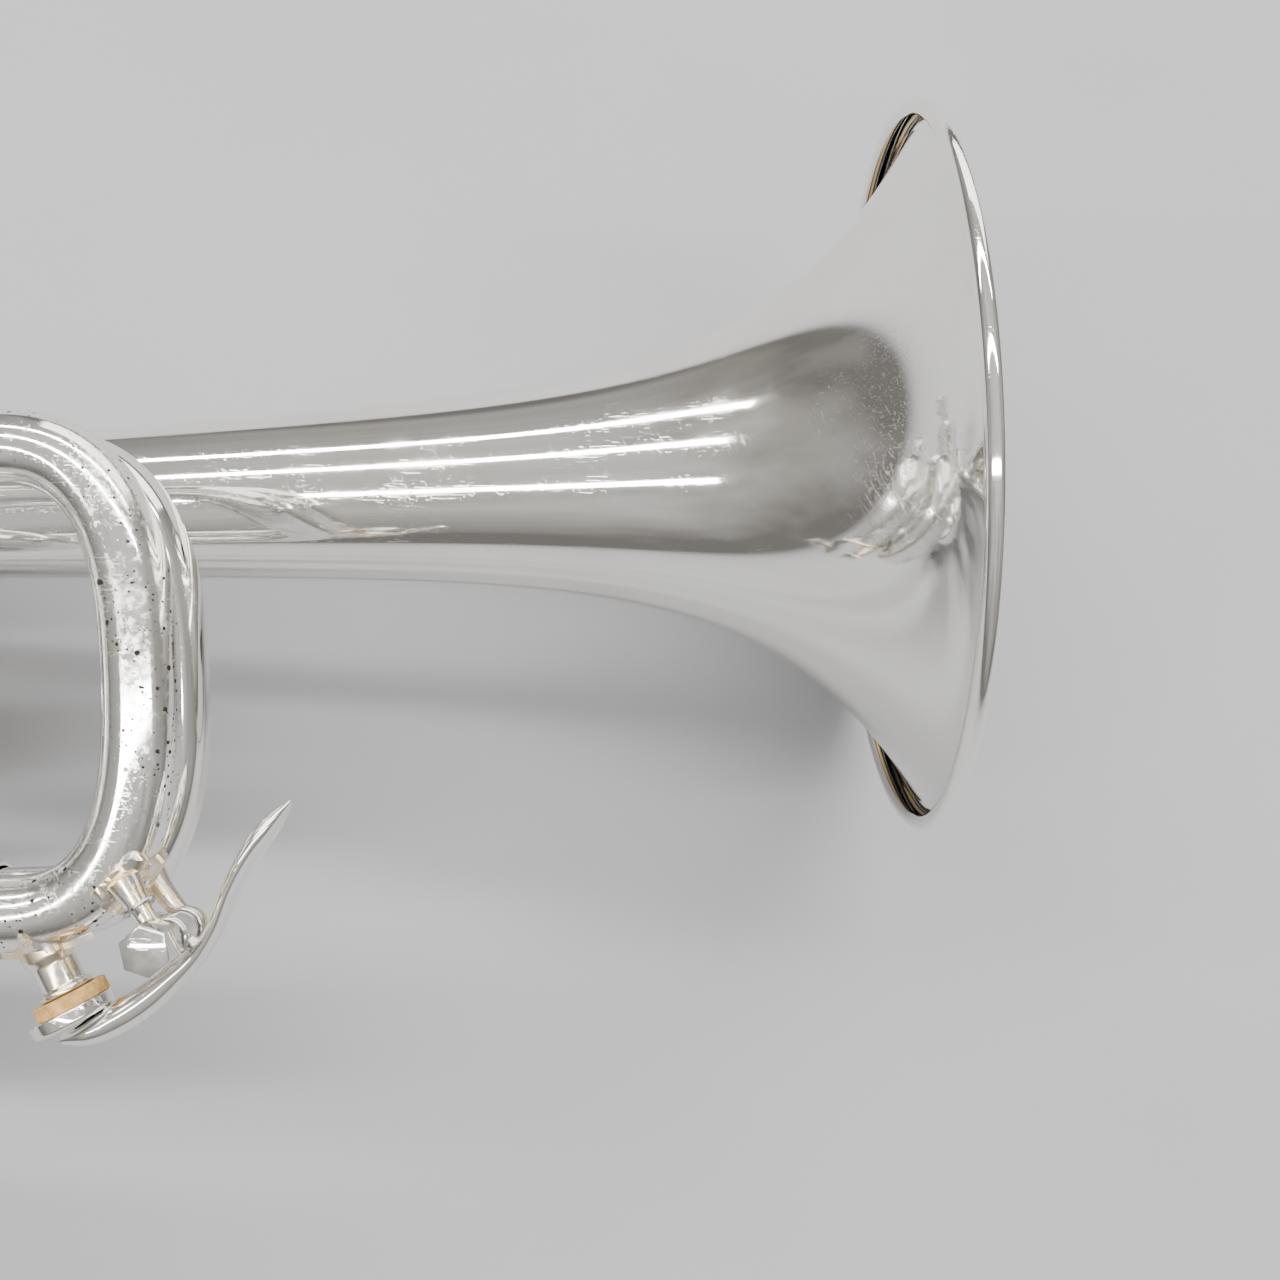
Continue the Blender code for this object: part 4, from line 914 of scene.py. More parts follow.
def build_piston_spring(number, body):
    """The coil between the guide and the piston's lid, at its resting length."""
    wire = 0.4 * MM
    low = GUIDE_Y + GUIDE_THICK + wire + GAP
    high = BARREL_LID - wire - GAP
    start = valve_foot(number) + UP * low
    path = coil(start, UP, radius=5.6 * MM, height=high - low, turns=5, steps=40)
    spring = rod_piece(f"piston_spring_{number}", path, wire, body, sides=12, look=STEEL)
    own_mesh(spring)


def build_button(number, body):
    """The stem screwed into the piston's lid and the finger button on it, with a pearl disc let in."""
    under = CAP_TOP + FELT + STROKE
    top = under + 5.5 * MM
    seat = top - 1.2 * MM
    stop_top = BARREL_TOP + 1.5 * MM
    stop_radius = STEM_RADIUS + 0.3 * MM
    outline = [
        (BARREL_LID, 0),
        (BARREL_LID, STEM_RADIUS),
        (BARREL_TOP + GAP, STEM_RADIUS),
        (BARREL_TOP + GAP, stop_radius),
        (stop_top, stop_radius),
        (stop_top, STEM_RADIUS),
        (under, STEM_RADIUS),
        (under, 4.2 * MM),
        (under + 2.6 * MM, 5.2 * MM),
        (under + 3.4 * MM, BUTTON_RADIUS),
        (top, BUTTON_RADIUS),
        (top, BUTTON_RADIUS - 1 * MM),
        (seat, BUTTON_RADIUS - 1 * MM),
        (seat, 0),
    ]
    turned_piece(f"finger_button_{number}", outline, valve_foot(number), UP, FERRULE_SIDES, body)
    pearl = BUTTON_RADIUS - 1.3 * MM
    outline = [
        (seat + GAP, 0),
        (seat + GAP, pearl),
        (top + 0.1 * MM, pearl),
        (top - 0.3 * MM, pearl / 2),
        (top - 0.4 * MM, 0),
    ]
    turned_piece(f"button_pearl_{number}", outline, valve_foot(number), UP, FERRULE_SIDES, body, PEARL)


def add_knurl(mesh, origin, low, high, radius):
    """Cuts fine upright grooves into the outside of a turned piece, between two heights."""
    first, second = across(UP)
    for vertex in mesh.verts:
        offset = vertex.co - origin
        along = offset.dot(UP)
        outward = offset - UP * along
        if low < along < high and outward.length > radius - KNURL_DEPTH:
            angle = math.atan2(outward.dot(second), outward.dot(first))
            depth = KNURL_DEPTH * (0.5 + 0.5 * math.cos(KNURL_TEETH * angle))
            vertex.co -= outward.normalized() * depth


def knurled_band(low, high, radius):
    """Outline points of a plain cylinder with a knurled band between two plain lips."""
    lip = 0.9 * MM if high > low else -0.9 * MM
    step = lip / 9
    heights = (low, low + lip, low + lip + step, high - lip - step, high - lip, high)
    return [(height, radius) for height in heights]


def knurled_piece(name, before, band, after, origin, body):
    """A turned cap. Its outline is knurled along a band of (from, to, radius)."""
    low, high, radius = band
    outline = [*before, *knurled_band(low, high, radius), *after]
    lip = 0.95 * MM
    mesh = bmesh.new()
    add_turned(mesh, softened(outline), origin, UP, KNURL_TEETH * 4)
    add_knurl(mesh, origin, min(low, high) + lip, max(low, high) - lip, radius)
    finish(name, mesh, SILVER, body, crease=60)


def build_caps(number, body):
    """The two caps that screw on the casing, both knurled, and the felt on the upper one."""
    foot = valve_foot(number)
    hole = STEM_RADIUS + 2 * GAP
    skirt = (CASING_TOP - 6 * MM, HEAD_RADIUS + GAP)
    dome = [
        (CAP_TOP - 2 * MM, 7.4 * MM),
        (CAP_TOP, 6.8 * MM),
        (CAP_TOP, hole),
        (CASING_TOP + 1.8 * MM, hole),
        (CASING_TOP + GAP, hole + 2 * MM),
        (CASING_TOP + GAP, HEAD_RADIUS + GAP),
    ]
    band = (skirt[0], CASING_TOP + 1.5 * MM, CAP_RADIUS)
    knurled_piece(f"top_cap_{number}", [skirt], band, dome, foot, body)
    rim = CASING_RADIUS + 1.1 * MM
    vent = 1.6 * MM
    floor = CASING_BOTTOM - 4 * MM
    skirt = (CASING_BOTTOM + 8 * MM, CASING_RADIUS + GAP)
    base = [
        (floor, rim - 1.6 * MM),
        (floor, vent),
        (CASING_BOTTOM - GAP, vent),
        (CASING_BOTTOM - GAP, CASING_RADIUS + GAP),
    ]
    band = (skirt[0], CASING_BOTTOM - 1.5 * MM, rim)
    knurled_piece(f"bottom_cap_{number}", [skirt], band, base, foot, body)
    low = CAP_TOP + 0.1 * MM
    high = CAP_TOP + FELT - GAP
    inner = STEM_RADIUS + GAP
    outer = 5.6 * MM
    outline = [(low, inner), (low, outer), (high, outer), (high, inner)]
    turned_piece(f"cap_felt_{number}", outline, foot, UP, FERRULE_SIDES, body, FELT_CLOTH)


# ---- braces and hook


def build_brace(name, low, low_radius, high, high_radius, body):
    """A turned post with a spreading foot at each end, from one round tube to another."""
    axis = (high - low).normalized()
    start = low + axis * (low_radius + 0.6 * MM)
    length = (high - low).length - low_radius - high_radius - 1.2 * MM
    foot = 3.2 * MM
    neck = 1.5 * MM
    flange = 0.8 * MM
    spread = 2.2 * MM
    outline = [
        (0, 0),
        (0, foot),
        (flange, foot),
        (spread, neck),
        (length / 2, 2 * MM),
        (length - spread, neck),
        (length - flange, foot),
        (length, foot),
        (length, 0),
    ]
    turned_piece(name, outline, start, axis, FERRULE_SIDES, body)


def build_braces(body):
    casing = Vector((VALVES_X[0], LEAD_Y, VALVE_Z))
    pipe = Vector((VALVES_X[0], LEAD_Y, NEAR_Z))
    build_brace("leadpipe_valve_brace", casing, CASING_RADIUS, pipe, LEAD_RADIUS, body)
    bell = Vector((REAR_BRACE_X, 0, 0))
    pipe = Vector((REAR_BRACE_X, LEAD_Y, NEAR_Z))
    build_brace("leadpipe_bell_brace", bell, bell_radius(-REAR_BRACE_X), pipe, LEAD_RADIUS, body)
    bell = Vector((FRONT_BRACE_X, 0, 0))
    sleeve = Vector((FRONT_BRACE_X, LEAD_Y - FAR_DROP, FAR_Z))
    build_brace("front_bell_brace", bell, bell_radius(-FRONT_BRACE_X), sleeve, SLEEVE_RADIUS, body)


def build_finger_hook(body):
    """The little finger's hook, a flat strip that rises off the lead pipe and curls forward."""
    base = Vector((HOOK_X, LEAD_Y + LEAD_RADIUS + 1.2 * MM, NEAR_Z))
    centre = base + UP * 11 * MM + FORWARD * 3 * MM
    steps = 60
    path = [base - FORWARD * 8 * MM, base - FORWARD * 3 * MM]
    for i in range(steps + 1):
        angle = math.radians(-100 + 250 * i / steps)
        path.append(centre + (FORWARD * math.cos(angle) + UP * math.sin(angle)) * HOOK_RADIUS)
    last = len(path) - 1
    widths = [(2.8 - 0.9 * i / last) * MM for i in range(last + 1)]
    rod_piece("finger_hook", path, widths, body, heights=0.8 * MM, sides=32)


# ---- water key


def nipple_frame():
    """The nipple's root on the near bow's centre line, and the way it points."""
    foot = Vector((*NIPPLE_FOOT, NEAR_Z))
    return foot, Vector((math.cos(NIPPLE_ANGLE), math.sin(NIPPLE_ANGLE), 0))


def drain_drill(name, end, body):
    """A helper: the drain's bore, from the near bow's middle out to a distance along the nipple."""
    foot, axis = nipple_frame()
    return rod_piece(name, [foot + axis * 2 * MM, foot + axis * end], DRAIN_RADIUS, body, sides=32)


def hinge_point():
    return Vector((HINGE_X, HINGE_Y, NEAR_Z))


def bow_rod(name, radius, body):
    """A helper: the lower half of the near bow as a solid rod of another radius."""
    curve = bow_curve(NEAR_Z, 0)
    path = curve[BOW_STEPS // 2 :] + [curve[-1] - FORWARD * 20 * MM]
    return rod_piece(name, path, radius, body, sides=64)


def plate_piece(name, origin, axis, long_way, outline, body):
    """A tall prism round an axis, to be cut down to a plate. The outline lists its (along, wide)
    corners in millimetres."""
    rings = []
    for height in (2 * MM, 9 * MM):
        rings.append([origin + axis * height + long_way * a * MM + RIGHT * b * MM for a, b in outline])
    mesh = bmesh.new()
    add_loft(mesh, rings, closed=False)
    return finish(name, mesh, SOLDERED, body)


def spline(values, place):
    """A smooth curve through evenly spaced values, at a place counted in steps along it."""
    step = min(int(place), len(values) - 2)
    t = place - step
    a, b, c, d = (values[min(max(step + k, 0), len(values) - 1)] for k in (-1, 0, 1, 2))
    bend = (a * 2 - b * 5 + c * 4 - d) * t * t + (b * 3 - a - c * 3 + d) * t**3
    return b + ((c - a) * t + bend) * 0.5


def refined(values, steps):
    count = (len(values) - 1) * steps
    return [spline(values, i / steps) for i in range(count + 1)]


def ragged(angle, seed):
    """A few waves with no common beat, for the edge of run solder, from -1 to 1."""
    waves = ((3, 1.7), (7, 0.6), (13, 2.9), (29, 4.1))
    return sum(math.sin(beat * angle + shift * seed) for beat, shift in waves) / len(waves)


def build_nipple(body):
    """The drain spout under the near bow: a pointed flange that fits the tube, a neck and a flat seat."""
    foot, axis = nipple_frame()
    tip = CORK_FACE - 0.1 * MM
    corners = [Vector(corner) for corner in NIPPLE_FLANGE]
    outline = []
    for i, corner in enumerate(corners):
        after = corners[(i + 1) % len(corners)]
        inward = (corner + after) * NIPPLE_HOLLOW
        for t in (0, 0.15, 0.35, 0.5, 0.65, 0.85):
            outline.append(corner.lerp(inward, t).lerp(inward.lerp(after, t), t))
    nipple = plate_piece("waterkey_nipple", foot, axis, RIGHT.cross(axis), outline, body)
    combine(nipple, "INTERSECT", bow_rod("nipple_flange_skin", LEAD_RADIUS + 0.9 * MM, body))
    waist = 2.9 * MM
    lip = 3.5 * MM
    neck = [
        (3 * MM, 0),
        (3 * MM, 3.7 * MM),
        (LEAD_RADIUS + 1.2 * MM, lip),
        (LEAD_RADIUS + 2.2 * MM, waist),
        (tip - 1 * MM, waist),
        (tip - 0.8 * MM, lip),
        (tip, lip),
        (tip, 0),
    ]
    combine(nipple, "UNION", turned_piece("nipple_neck", neck, foot, axis, FERRULE_SIDES, body))
    combine(nipple, "DIFFERENCE", bow_rod("nipple_root", LEAD_RADIUS + SOLDER_GAP, body))
    combine(nipple, "DIFFERENCE", drain_drill("nipple_drain", tip + 2 * MM, body))


def saddle_frame():
    """The saddle's root on the near bow's centre line, the way out to the hinge and the way along."""
    root = Vector((*SADDLE_ROOT, NEAR_Z))
    out = (hinge_point() - root).normalized()
    return root, out, RIGHT.cross(out)


def post_ends(side):
    """Where a post of the hinge bracket leaves the foot plate and where it meets the pivot."""
    root, out, along = saddle_frame()
    level = RIGHT * side * (EAR_INNER + EAR_OUTER) / 2
    return root + out * 3.5 * MM + along * 1.2 * MM + level * 0.8, hinge_point() + level


def saddle_outline():
    """The foot plate's (along, wide) corners: a rounded square, its edge ragged with solder."""
    corners = []
    for i in range(SADDLE_EDGE_STEPS):
        angle = 2 * math.pi * i / SADDLE_EDGE_STEPS
        square = 1 / (abs(math.cos(angle)) ** 5 + abs(math.sin(angle)) ** 5) ** 0.2
        edge = square * (1 + 0.09 * ragged(angle, 5))
        corners.append((1 + 4.1 * edge * math.cos(angle), 5.7 * edge * math.sin(angle)))
    return corners


def build_saddle(body):
    """The hinge bracket soldered to the bow: a curved foot plate and two posts with eyes for the screw."""
    root, out, along = saddle_frame()
    saddle = plate_piece("waterkey_saddle", root, out, along, saddle_outline(), body)
    combine(saddle, "INTERSECT", bow_rod("saddle_skin", LEAD_RADIUS + 1.2 * MM, body))
    half = (EAR_OUTER - EAR_INNER) / 2
    disc = [(-half, 0), (-half, 2.5 * MM), (half, 2.5 * MM), (half, 0)]
    for side, name in ((-1, "saddle_far_post"), (1, "saddle_near_post")):
        foot, eye = post_ends(side)
        stations = [foot.lerp(eye, share) for share in (0, 0.3, 0.55, 1)]
        radii = [2.3 * MM, 1.7 * MM, 1.4 * MM, 1.4 * MM]
        combine(saddle, "UNION", rod_piece(name, stations, radii, body, sides=40))
        combine(saddle, "UNION", turned_piece(name + "_eye", disc, eye, RIGHT, FERRULE_SIDES, body))
    combine(saddle, "DIFFERENCE", bow_rod("saddle_root", LEAD_RADIUS + SOLDER_GAP, body))
    reach = RIGHT * 8 * MM
    line = [hinge_point() - reach, hinge_point() + reach]
    combine(saddle, "DIFFERENCE", rod_piece("saddle_drill", line, PIN_RADIUS + PIN_PLAY, body))


def build_pivot_screw(body):
    """The hinge pin, with a hexagonal head on the player's right, its upper edges dressed off."""
    seat = EAR_OUTER + 0.2 * MM
    corner = HEX_FLATS / math.sqrt(3)
    outline = [(-7 * MM, 0), (-7 * MM, PIN_RADIUS), (seat + 1 * MM, PIN_RADIUS), (seat + 1 * MM, 0)]
    screw = turned_piece("waterkey_screw", outline, hinge_point(), RIGHT, FERRULE_SIDES, body)
    rings = []
    for height, share in HEX_LEVELS:
        middle = hinge_point() + RIGHT * (seat + height * MM)
        turned = [HEX_TURN + math.pi * i / 3 for i in range(6)]
        rings.append([middle + (FORWARD * math.cos(a) + UP * math.sin(a)) * corner * share for a in turned])
    head = bmesh.new()
    add_loft(head, rings, closed=False)
    combine(screw, "UNION", finish("screw_head", head, SILVER, body))


def build_lever(body):
    """A curved lever with a round cup for the cork, a barrel round the pivot and a pointed finger plate."""
    path = refined([point(x, y, NEAR_Z / MM) for x, y in LEVER_LINE], LEVER_STEPS)
    widths = refined([w * MM for w in LEVER_HALF_WIDTHS], LEVER_STEPS)
    depths = refined([d * MM for d in LEVER_HALF_DEPTHS], LEVER_STEPS)
    lever = rod_piece("waterkey_lever", path, widths, body, heights=depths, sides=40)
    foot, axis = nipple_frame()
    back = CORK_FACE + CORK_THICKNESS + 0.05 * MM
    edge = back + 1.7 * MM
    top = edge + 0.4 * MM
    outline = [(back, 0), (back, CUP_RADIUS), (edge, CUP_RADIUS), (top, CUP_RADIUS - 0.6 * MM), (top, 0)]
    foot = foot - axis.cross(RIGHT) * CUP_SHIFT
    combine(lever, "UNION", turned_piece("lever_cup", outline, foot, axis, CASING_SIDES, body))
    hinge = hinge_point()
    bore = PIN_RADIUS + PIN_PLAY
    outer = bore + 1.2 * MM
    half = EAR_INNER - 2.6 * MM
    outline = [(-half, bore), (-half, outer), (half, outer), (half, bore)]
    combine(lever, "UNION", turned_piece("lever_barrel", outline, hinge, RIGHT, FERRULE_SIDES, body))
    anchor = min(path, key=lambda p: (p - hinge).length)
    out = (anchor - hinge).normalized()
    ends = [hinge + out * (bore + 0.5 * MM), anchor]
    combine(lever, "UNION", rod_piece("lever_web", ends, 1.3 * MM, body, sides=32))


def build_cork(body):
    """A disc of cork, a little torn at its edge."""
    foot, axis = nipple_frame()
    low = CORK_FACE + 0.05 * MM
    high = CORK_FACE + CORK_THICKNESS
    levels = ((low, 0.55), (low, 0.97), (low + 0.15 * MM, 1), (high, 1.01), (high, 0.55))
    sides = 160
    rings = [[foot + axis * low]]
    for k, (along, share) in enumerate(levels):
        centre = foot + axis * along
        torn = []
        for i, p in enumerate(ring(centre, across(axis), CORK_RADIUS * share, CORK_RADIUS * share, sides)):
            torn.append(centre + (p - centre) * (1 + 0.02 * ragged(2 * math.pi * i / sides, k / 3)))
        rings.append(torn)
    rings.append([foot + axis * high])
    mesh = bmesh.new()
    add_loft(mesh, rings, closed=False)
    finish("waterkey_cork", mesh, CORK, body)


def build_key_spring(body):
    """One wire: an end ring on the near post, and a coil round the pivot each side of the lever's
    barrel, joined by a loop that bears on the bow."""
    hinge = hinge_point()
    radius = PIN_RADIUS + 1.35 * MM
    half = EAR_INNER - 0.5 * MM
    pitch = 0.75 * MM
    steps = 36
    foot, eye = post_ends(1)
    first, second = across((eye - foot).normalized())
    loop_centre = foot.lerp(eye, 0.42)
    end_ring = []
    for i in range(steps):
        angle = 2 * math.pi * i / steps
        arm = first * math.cos(angle) + second * math.sin(angle)
        end_ring.append(loop_centre + arm * POST_LOOP_RADIUS)
    winding = []
    for i in range(2 * steps + 1):
        angle = math.radians(SPRING_ANGLE) + 2 * math.pi * i / steps
        outward = FORWARD * math.cos(angle) + UP * math.sin(angle)
        winding.append(hinge + outward * radius + RIGHT * (half - pitch * i / steps))
    angle = math.radians(SPRING_ANGLE)
    loop = hinge + (FORWARD * math.cos(angle) + UP * math.sin(angle)) * (radius + 0.9 * MM)
    shift = RIGHT * half * 0.4
    mirror = [Vector((p.x, p.y, 2 * NEAR_Z - p.z)) for p in winding[::-1]]
    path = end_ring + winding + [loop + shift, loop - shift] + mirror
    rod_piece("waterkey_spring", path, 0.34 * MM, body, sides=12, look=STEEL)


# ---- materials


def connect(tree, node, inputs):
    """Links each of a node's inputs to a socket, or gives it its value."""
    for name, value in inputs.items():
        if isinstance(value, bpy.types.NodeSocket):
            tree.links.new(value, node.inputs[name])
        else:
            node.inputs[name].default_value = value


def wire_node(tree, kind, inputs=None, **settings):
    """A new node with its settings and its inputs."""
    node = tree.nodes.new(kind)
    for name, value in settings.items():
        setattr(node, name, value)
    connect(tree, node, inputs or {})
    return node


def place_on(tree):
    """Where a point lies in its object's own space."""
    return wire_node(tree, "ShaderNodeTexCoord").outputs["Object"]


def noise(tree, coordinates, scale, detail=4, roughness=0.55):
    settings = {"Vector": coordinates, "Scale": scale, "Detail": detail, "Roughness": roughness}
    return wire_node(tree, "ShaderNodeTexNoise", settings).outputs["Fac"]


def remap(tree, value, low, high, to_low=0.0, to_high=1.0):
    settings = {"Value": value, "From Min": low, "From Max": high, "To Min": to_low, "To Max": to_high}
    return wire_node(tree, "ShaderNodeMapRange", settings).outputs["Result"]


def arithmetic(tree, operation, first, second):
    return wire_node(tree, "ShaderNodeMath", {0: first, 1: second}, operation=operation).outputs[0]


def plus(tree, first, second):
    return arithmetic(tree, "ADD", first, second)


def times(tree, first, second):
    return arithmetic(tree, "MULTIPLY", first, second)


def highest(tree, first, second):
    return arithmetic(tree, "MAXIMUM", first, second)


def mixed(tree, amount, first, second):
    return wire_node(tree, "ShaderNodeMix", {0: amount, 6: first, 7: second}, data_type="RGBA").outputs[2]


def bumped(tree, height, strength, distance):
    inputs = {"Height": height, "Strength": strength, "Distance": distance}
    return wire_node(tree, "ShaderNodeBump", inputs).outputs["Normal"]


def new_surface(name):
    """A new material, its node tree and its surface."""
    material = bpy.data.materials.new(name)
    material.use_nodes = True
    return material, material.node_tree, material.node_tree.nodes["Principled BSDF"]


def new_group(name, inputs, outputs):
    """An empty node group with these named sockets."""
    group = bpy.data.node_groups.new(name, "ShaderNodeTree")
    for socket, kind, value in inputs:
        made = group.interface.new_socket(socket, in_out="INPUT", socket_type=kind)
        made.default_value = value
    for socket, kind in outputs:
        group.interface.new_socket(socket, in_out="OUTPUT", socket_type=kind)
    way_in = group.nodes.new("NodeGroupInput")
    way_out = group.nodes.new("NodeGroupOutput")
    return group, way_in.outputs, way_out


def scratches(tree, coordinates, turn, spacing):
    """Hair scratches that run one way: noise drawn out long and thin, and only its crests kept."""
    size = (spacing, spacing, spacing * SCRATCH_STRETCH)
    stretch = {"Vector": coordinates, "Rotation": turn, "Scale": size}
    drawn = wire_node(tree, "ShaderNodeMapping", stretch, vector_type="TEXTURE").outputs["Vector"]
    return remap(tree, noise(tree, drawn, 1.0, detail=1, roughness=0.4), 0.66, 0.72)


def make_polish_group():
    """How a polished plate has worn: hair scratches, haze where hands have been, and a warm tarnish."""
    inputs = (
        ("Bright", COLOUR, (0.93, 0.92, 0.90, 1)),
        ("Tarnish", COLOUR, (0.80, 0.74, 0.62, 1)),
        ("Haze", NUMBER, 0.3),
        ("Scratch", NUMBER, 0.5),
    )
    outputs = (("Color", COLOUR), ("Roughness", NUMBER), ("Height", NUMBER))
    group, given, result = new_group("worn polish", inputs, outputs)
    place = place_on(group)
    cloud = noise(group, place, scale=34, detail=6, roughness=0.6)
    smear = noise(group, place, scale=160, detail=5, roughness=0.65)
    first = scratches(group, place, (0.3, 1.3, 0.2), 0.28 * MM)
    second = scratches(group, place, (1.1, 0.2, 1.3), 0.34 * MM)
    third = scratches(group, place, (1.5, 0.9, 0.4), 0.22 * MM)
    lines = highest(group, first, highest(group, second, third))
    sparse = remap(group, noise(group, place, scale=55, detail=3), 0.42, 0.62)
    lines = times(group, times(group, lines, sparse), given["Scratch"])
    warm = remap(group, cloud, 0.45, 0.78, 0.0, 0.55)
    breath = times(group, remap(group, smear, 0.35, 0.75), given["Haze"])
    patches = times(group, remap(group, cloud, 0.4, 0.7), breath)
    base = plus(group, times(group, patches, HAZE_ROUGHNESS), MIRROR_ROUGHNESS)
    worn = {
        "Color": mixed(group, warm, given["Bright"], given["Tarnish"]),
        "Roughness": plus(group, base, times(group, lines, SCRATCH_ROUGHNESS)),
        "Height": times(group, lines, -1.0),
    }
    connect(group, result, worn)
    return group


def make_pit_group():
    """Small dark pits where the plate has been eaten through, in drifts, and frosting between them."""
    inputs = (("Amount", NUMBER, 0.5),)
    group, given, result = new_group("pitting", inputs, (("Pit", NUMBER), ("Frost", NUMBER)))
    place = place_on(group)
    drift = remap(group, noise(group, place, scale=70), 0.36, 0.50)
    sizes = []
    for scale in (760, 1500):
        cells = wire_node(group, "ShaderNodeTexVoronoi", {"Vector": place, "Scale": scale}).outputs
        chance = wire_node(group, "ShaderNodeSeparateColor", {"Color": cells["Color"]}).outputs
        kept = arithmetic(group, "LESS_THAN", chance["Red"], given["Amount"])
        wide = times(group, chance["Green"], PIT_SIZE)
        spot = arithmetic(group, "LESS_THAN", cells["Distance"], wide)
        sizes.append(times(group, spot, kept))
    frost = remap(group, noise(group, place, scale=900, detail=6, roughness=0.7), 0.5, 0.62)
    pit = times(group, highest(group, *sizes), drift)
    connect(group, result, {"Pit": pit, "Frost": times(group, frost, drift)})
    return group


def plate_material(name, groups, haze, scratch, pits=0.0, gold=0.0):
    """Silver plate in a given state of wear."""
    material, tree, surface = new_surface(name)
    wear = {"Haze": haze, "Scratch": scratch}
    polish = wire_node(tree, "ShaderNodeGroup", wear, node_tree=groups["polish"])
    colour = polish.outputs["Color"]
    rough = polish.outputs["Roughness"]
    height = polish.outputs["Height"]
    if gold:
        place = place_on(tree)
        run = remap(tree, noise(tree, place, scale=260), 0.42, 0.60, 0.0, gold)
        colour = mixed(tree, run, colour, SOLDER_TINT)
        height = plus(tree, height, times(tree, noise(tree, place, scale=700), 2.0))
        rough = plus(tree, rough, times(tree, run, 0.16))
    if pits:
        pitting = wire_node(tree, "ShaderNodeGroup", {"Amount": pits}, node_tree=groups["pits"])
        pit = pitting.outputs["Pit"]
        colour = mixed(tree, pit, colour, PIT_TINT)
        rough = highest(tree, rough, times(tree, pit, 0.75))
        rough = plus(tree, rough, times(tree, pitting.outputs["Frost"], 0.16))
        height = arithmetic(tree, "SUBTRACT", height, times(tree, pit, 1.2))
    normal = bumped(tree, height, strength=0.25, distance=0.02 * MM)
    connect(tree, surface, {"Base Color": colour, "Roughness": rough, "Normal": normal, "Metallic": 1.0})
    return material


def metal_material(name, groups, bright, tarnish, haze):
    """Another bare metal, with the same kind of wear."""
    material = plate_material(name, groups, haze, scratch=0.6)
    polish = next(node for node in material.node_tree.nodes if node.type == "GROUP")
    connect(material.node_tree, polish, {"Bright": (*bright, 1), "Tarnish": (*tarnish, 1)})
    return material


def soft_material(name, colours, scale, roughness, sheen=0.0):
    """Cork or felt: two noises of grain over a mix of two colours."""
    material, tree, surface = new_surface(name)
    place = place_on(tree)
    coarse = noise(tree, place, scale, detail=5)
    fine = noise(tree, place, scale * 5, detail=5, roughness=0.7)
    grain = plus(tree, times(tree, coarse, 0.6), times(tree, fine, 0.4))
    tint = mixed(tree, remap(tree, grain, 0.36, 0.62), (*colours[0], 1), (*colours[1], 1))
    normal = bumped(tree, grain, strength=0.8, distance=0.2 * MM)
    connect(tree, surface, {"Base Color": tint, "Normal": normal})
    connect(tree, surface, {"Roughness": roughness, "Sheen Weight": sheen})
    return material


def pearl_material():
    """Mother of pearl: cloudy bands of pink and green under a hard gloss."""
    material, tree, surface = new_surface("mother of pearl")
    place = place_on(tree)
    waves = {"Vector": place, "Scale": 130, "Distortion": 9, "Detail": 3}
    bands = wire_node(tree, "ShaderNodeTexWave", waves).outputs["Fac"]
    cool = mixed(tree, bands, (0.88, 0.89, 0.86, 1), (0.80, 0.86, 0.84, 1))
    clouds = remap(tree, noise(tree, place, scale=300), 0.4, 0.7)
    tint = mixed(tree, clouds, cool, (0.93, 0.84, 0.82, 1))
    connect(tree, surface, {"Base Color": tint, "Roughness": 0.16, "Coat Weight": 0.6})
    return material


def make_looks():
    groups = {"polish": make_polish_group(), "pits": make_pit_group()}
    LOOKS[SILVER] = plate_material("bright silver plate", groups, haze=0.35, scratch=0.8)
    LOOKS[PITTED] = plate_material("pitted silver plate", groups, haze=1.0, scratch=1.0, pits=0.7)
    LOOKS[SOLDERED] = plate_material("soldered silver plate", groups, haze=0.9, scratch=0.8, gold=0.8)
    LOOKS[BRASS] = metal_material("old brass", groups, (0.80, 0.62, 0.33), (0.55, 0.38, 0.18), haze=0.8)
    LOOKS[STEEL] = metal_material("spring steel", groups, (0.56, 0.57, 0.59), (0.40, 0.38, 0.36), haze=0.9)
    LOOKS[ALLOY] = metal_material("nickel alloy", groups, (0.66, 0.64, 0.60), (0.52, 0.48, 0.42), haze=0.7)
    LOOKS[PEARL] = pearl_material()
    LOOKS[CORK] = soft_material("cork", CORK_COLOURS, scale=700, roughness=0.85)
    LOOKS[FELT_CLOTH] = soft_material("felt", FELT_COLOURS, scale=1400, roughness=0.95, sheen=0.4)


# ---- the room


def floor_material():
    material, tree, surface = new_surface("pale table")
    clouds = noise(tree, place_on(tree), scale=9)
    tint = mixed(tree, clouds, (0.29, 0.29, 0.30, 1), (0.33, 0.33, 0.34, 1))
    connect(tree, surface, {"Base Color": tint, "Roughness": 0.7})
    return material


def build_floor(height):
    """A flat table top that touches the lowest point of the object."""
    mesh = bmesh.new()
    corners = ((-1, -1), (1, -1), (1, 1), (-1, 1))
    mesh.faces.new([mesh.verts.new((x * FLOOR_HALF, y * FLOOR_HALF, height)) for x, y in corners])
    data = bpy.data.meshes.new("table")
    mesh.to_mesh(data)
    mesh.free()
    data.materials.append(floor_material())
    floor = bpy.data.objects.new("table", data)
    bpy.context.scene.collection.objects.link(floor)


def seen_from(angle, lean=0.0):
    """A direction in the instrument's frame: the player's right, turned up by an angle in degrees and
    ahead by a lean in radians."""
    turned = RIGHT * math.cos(math.radians(angle)) + UP * math.sin(math.radians(angle))
    return (turned * math.cos(lean) + FORWARD * math.sin(lean)).normalized()


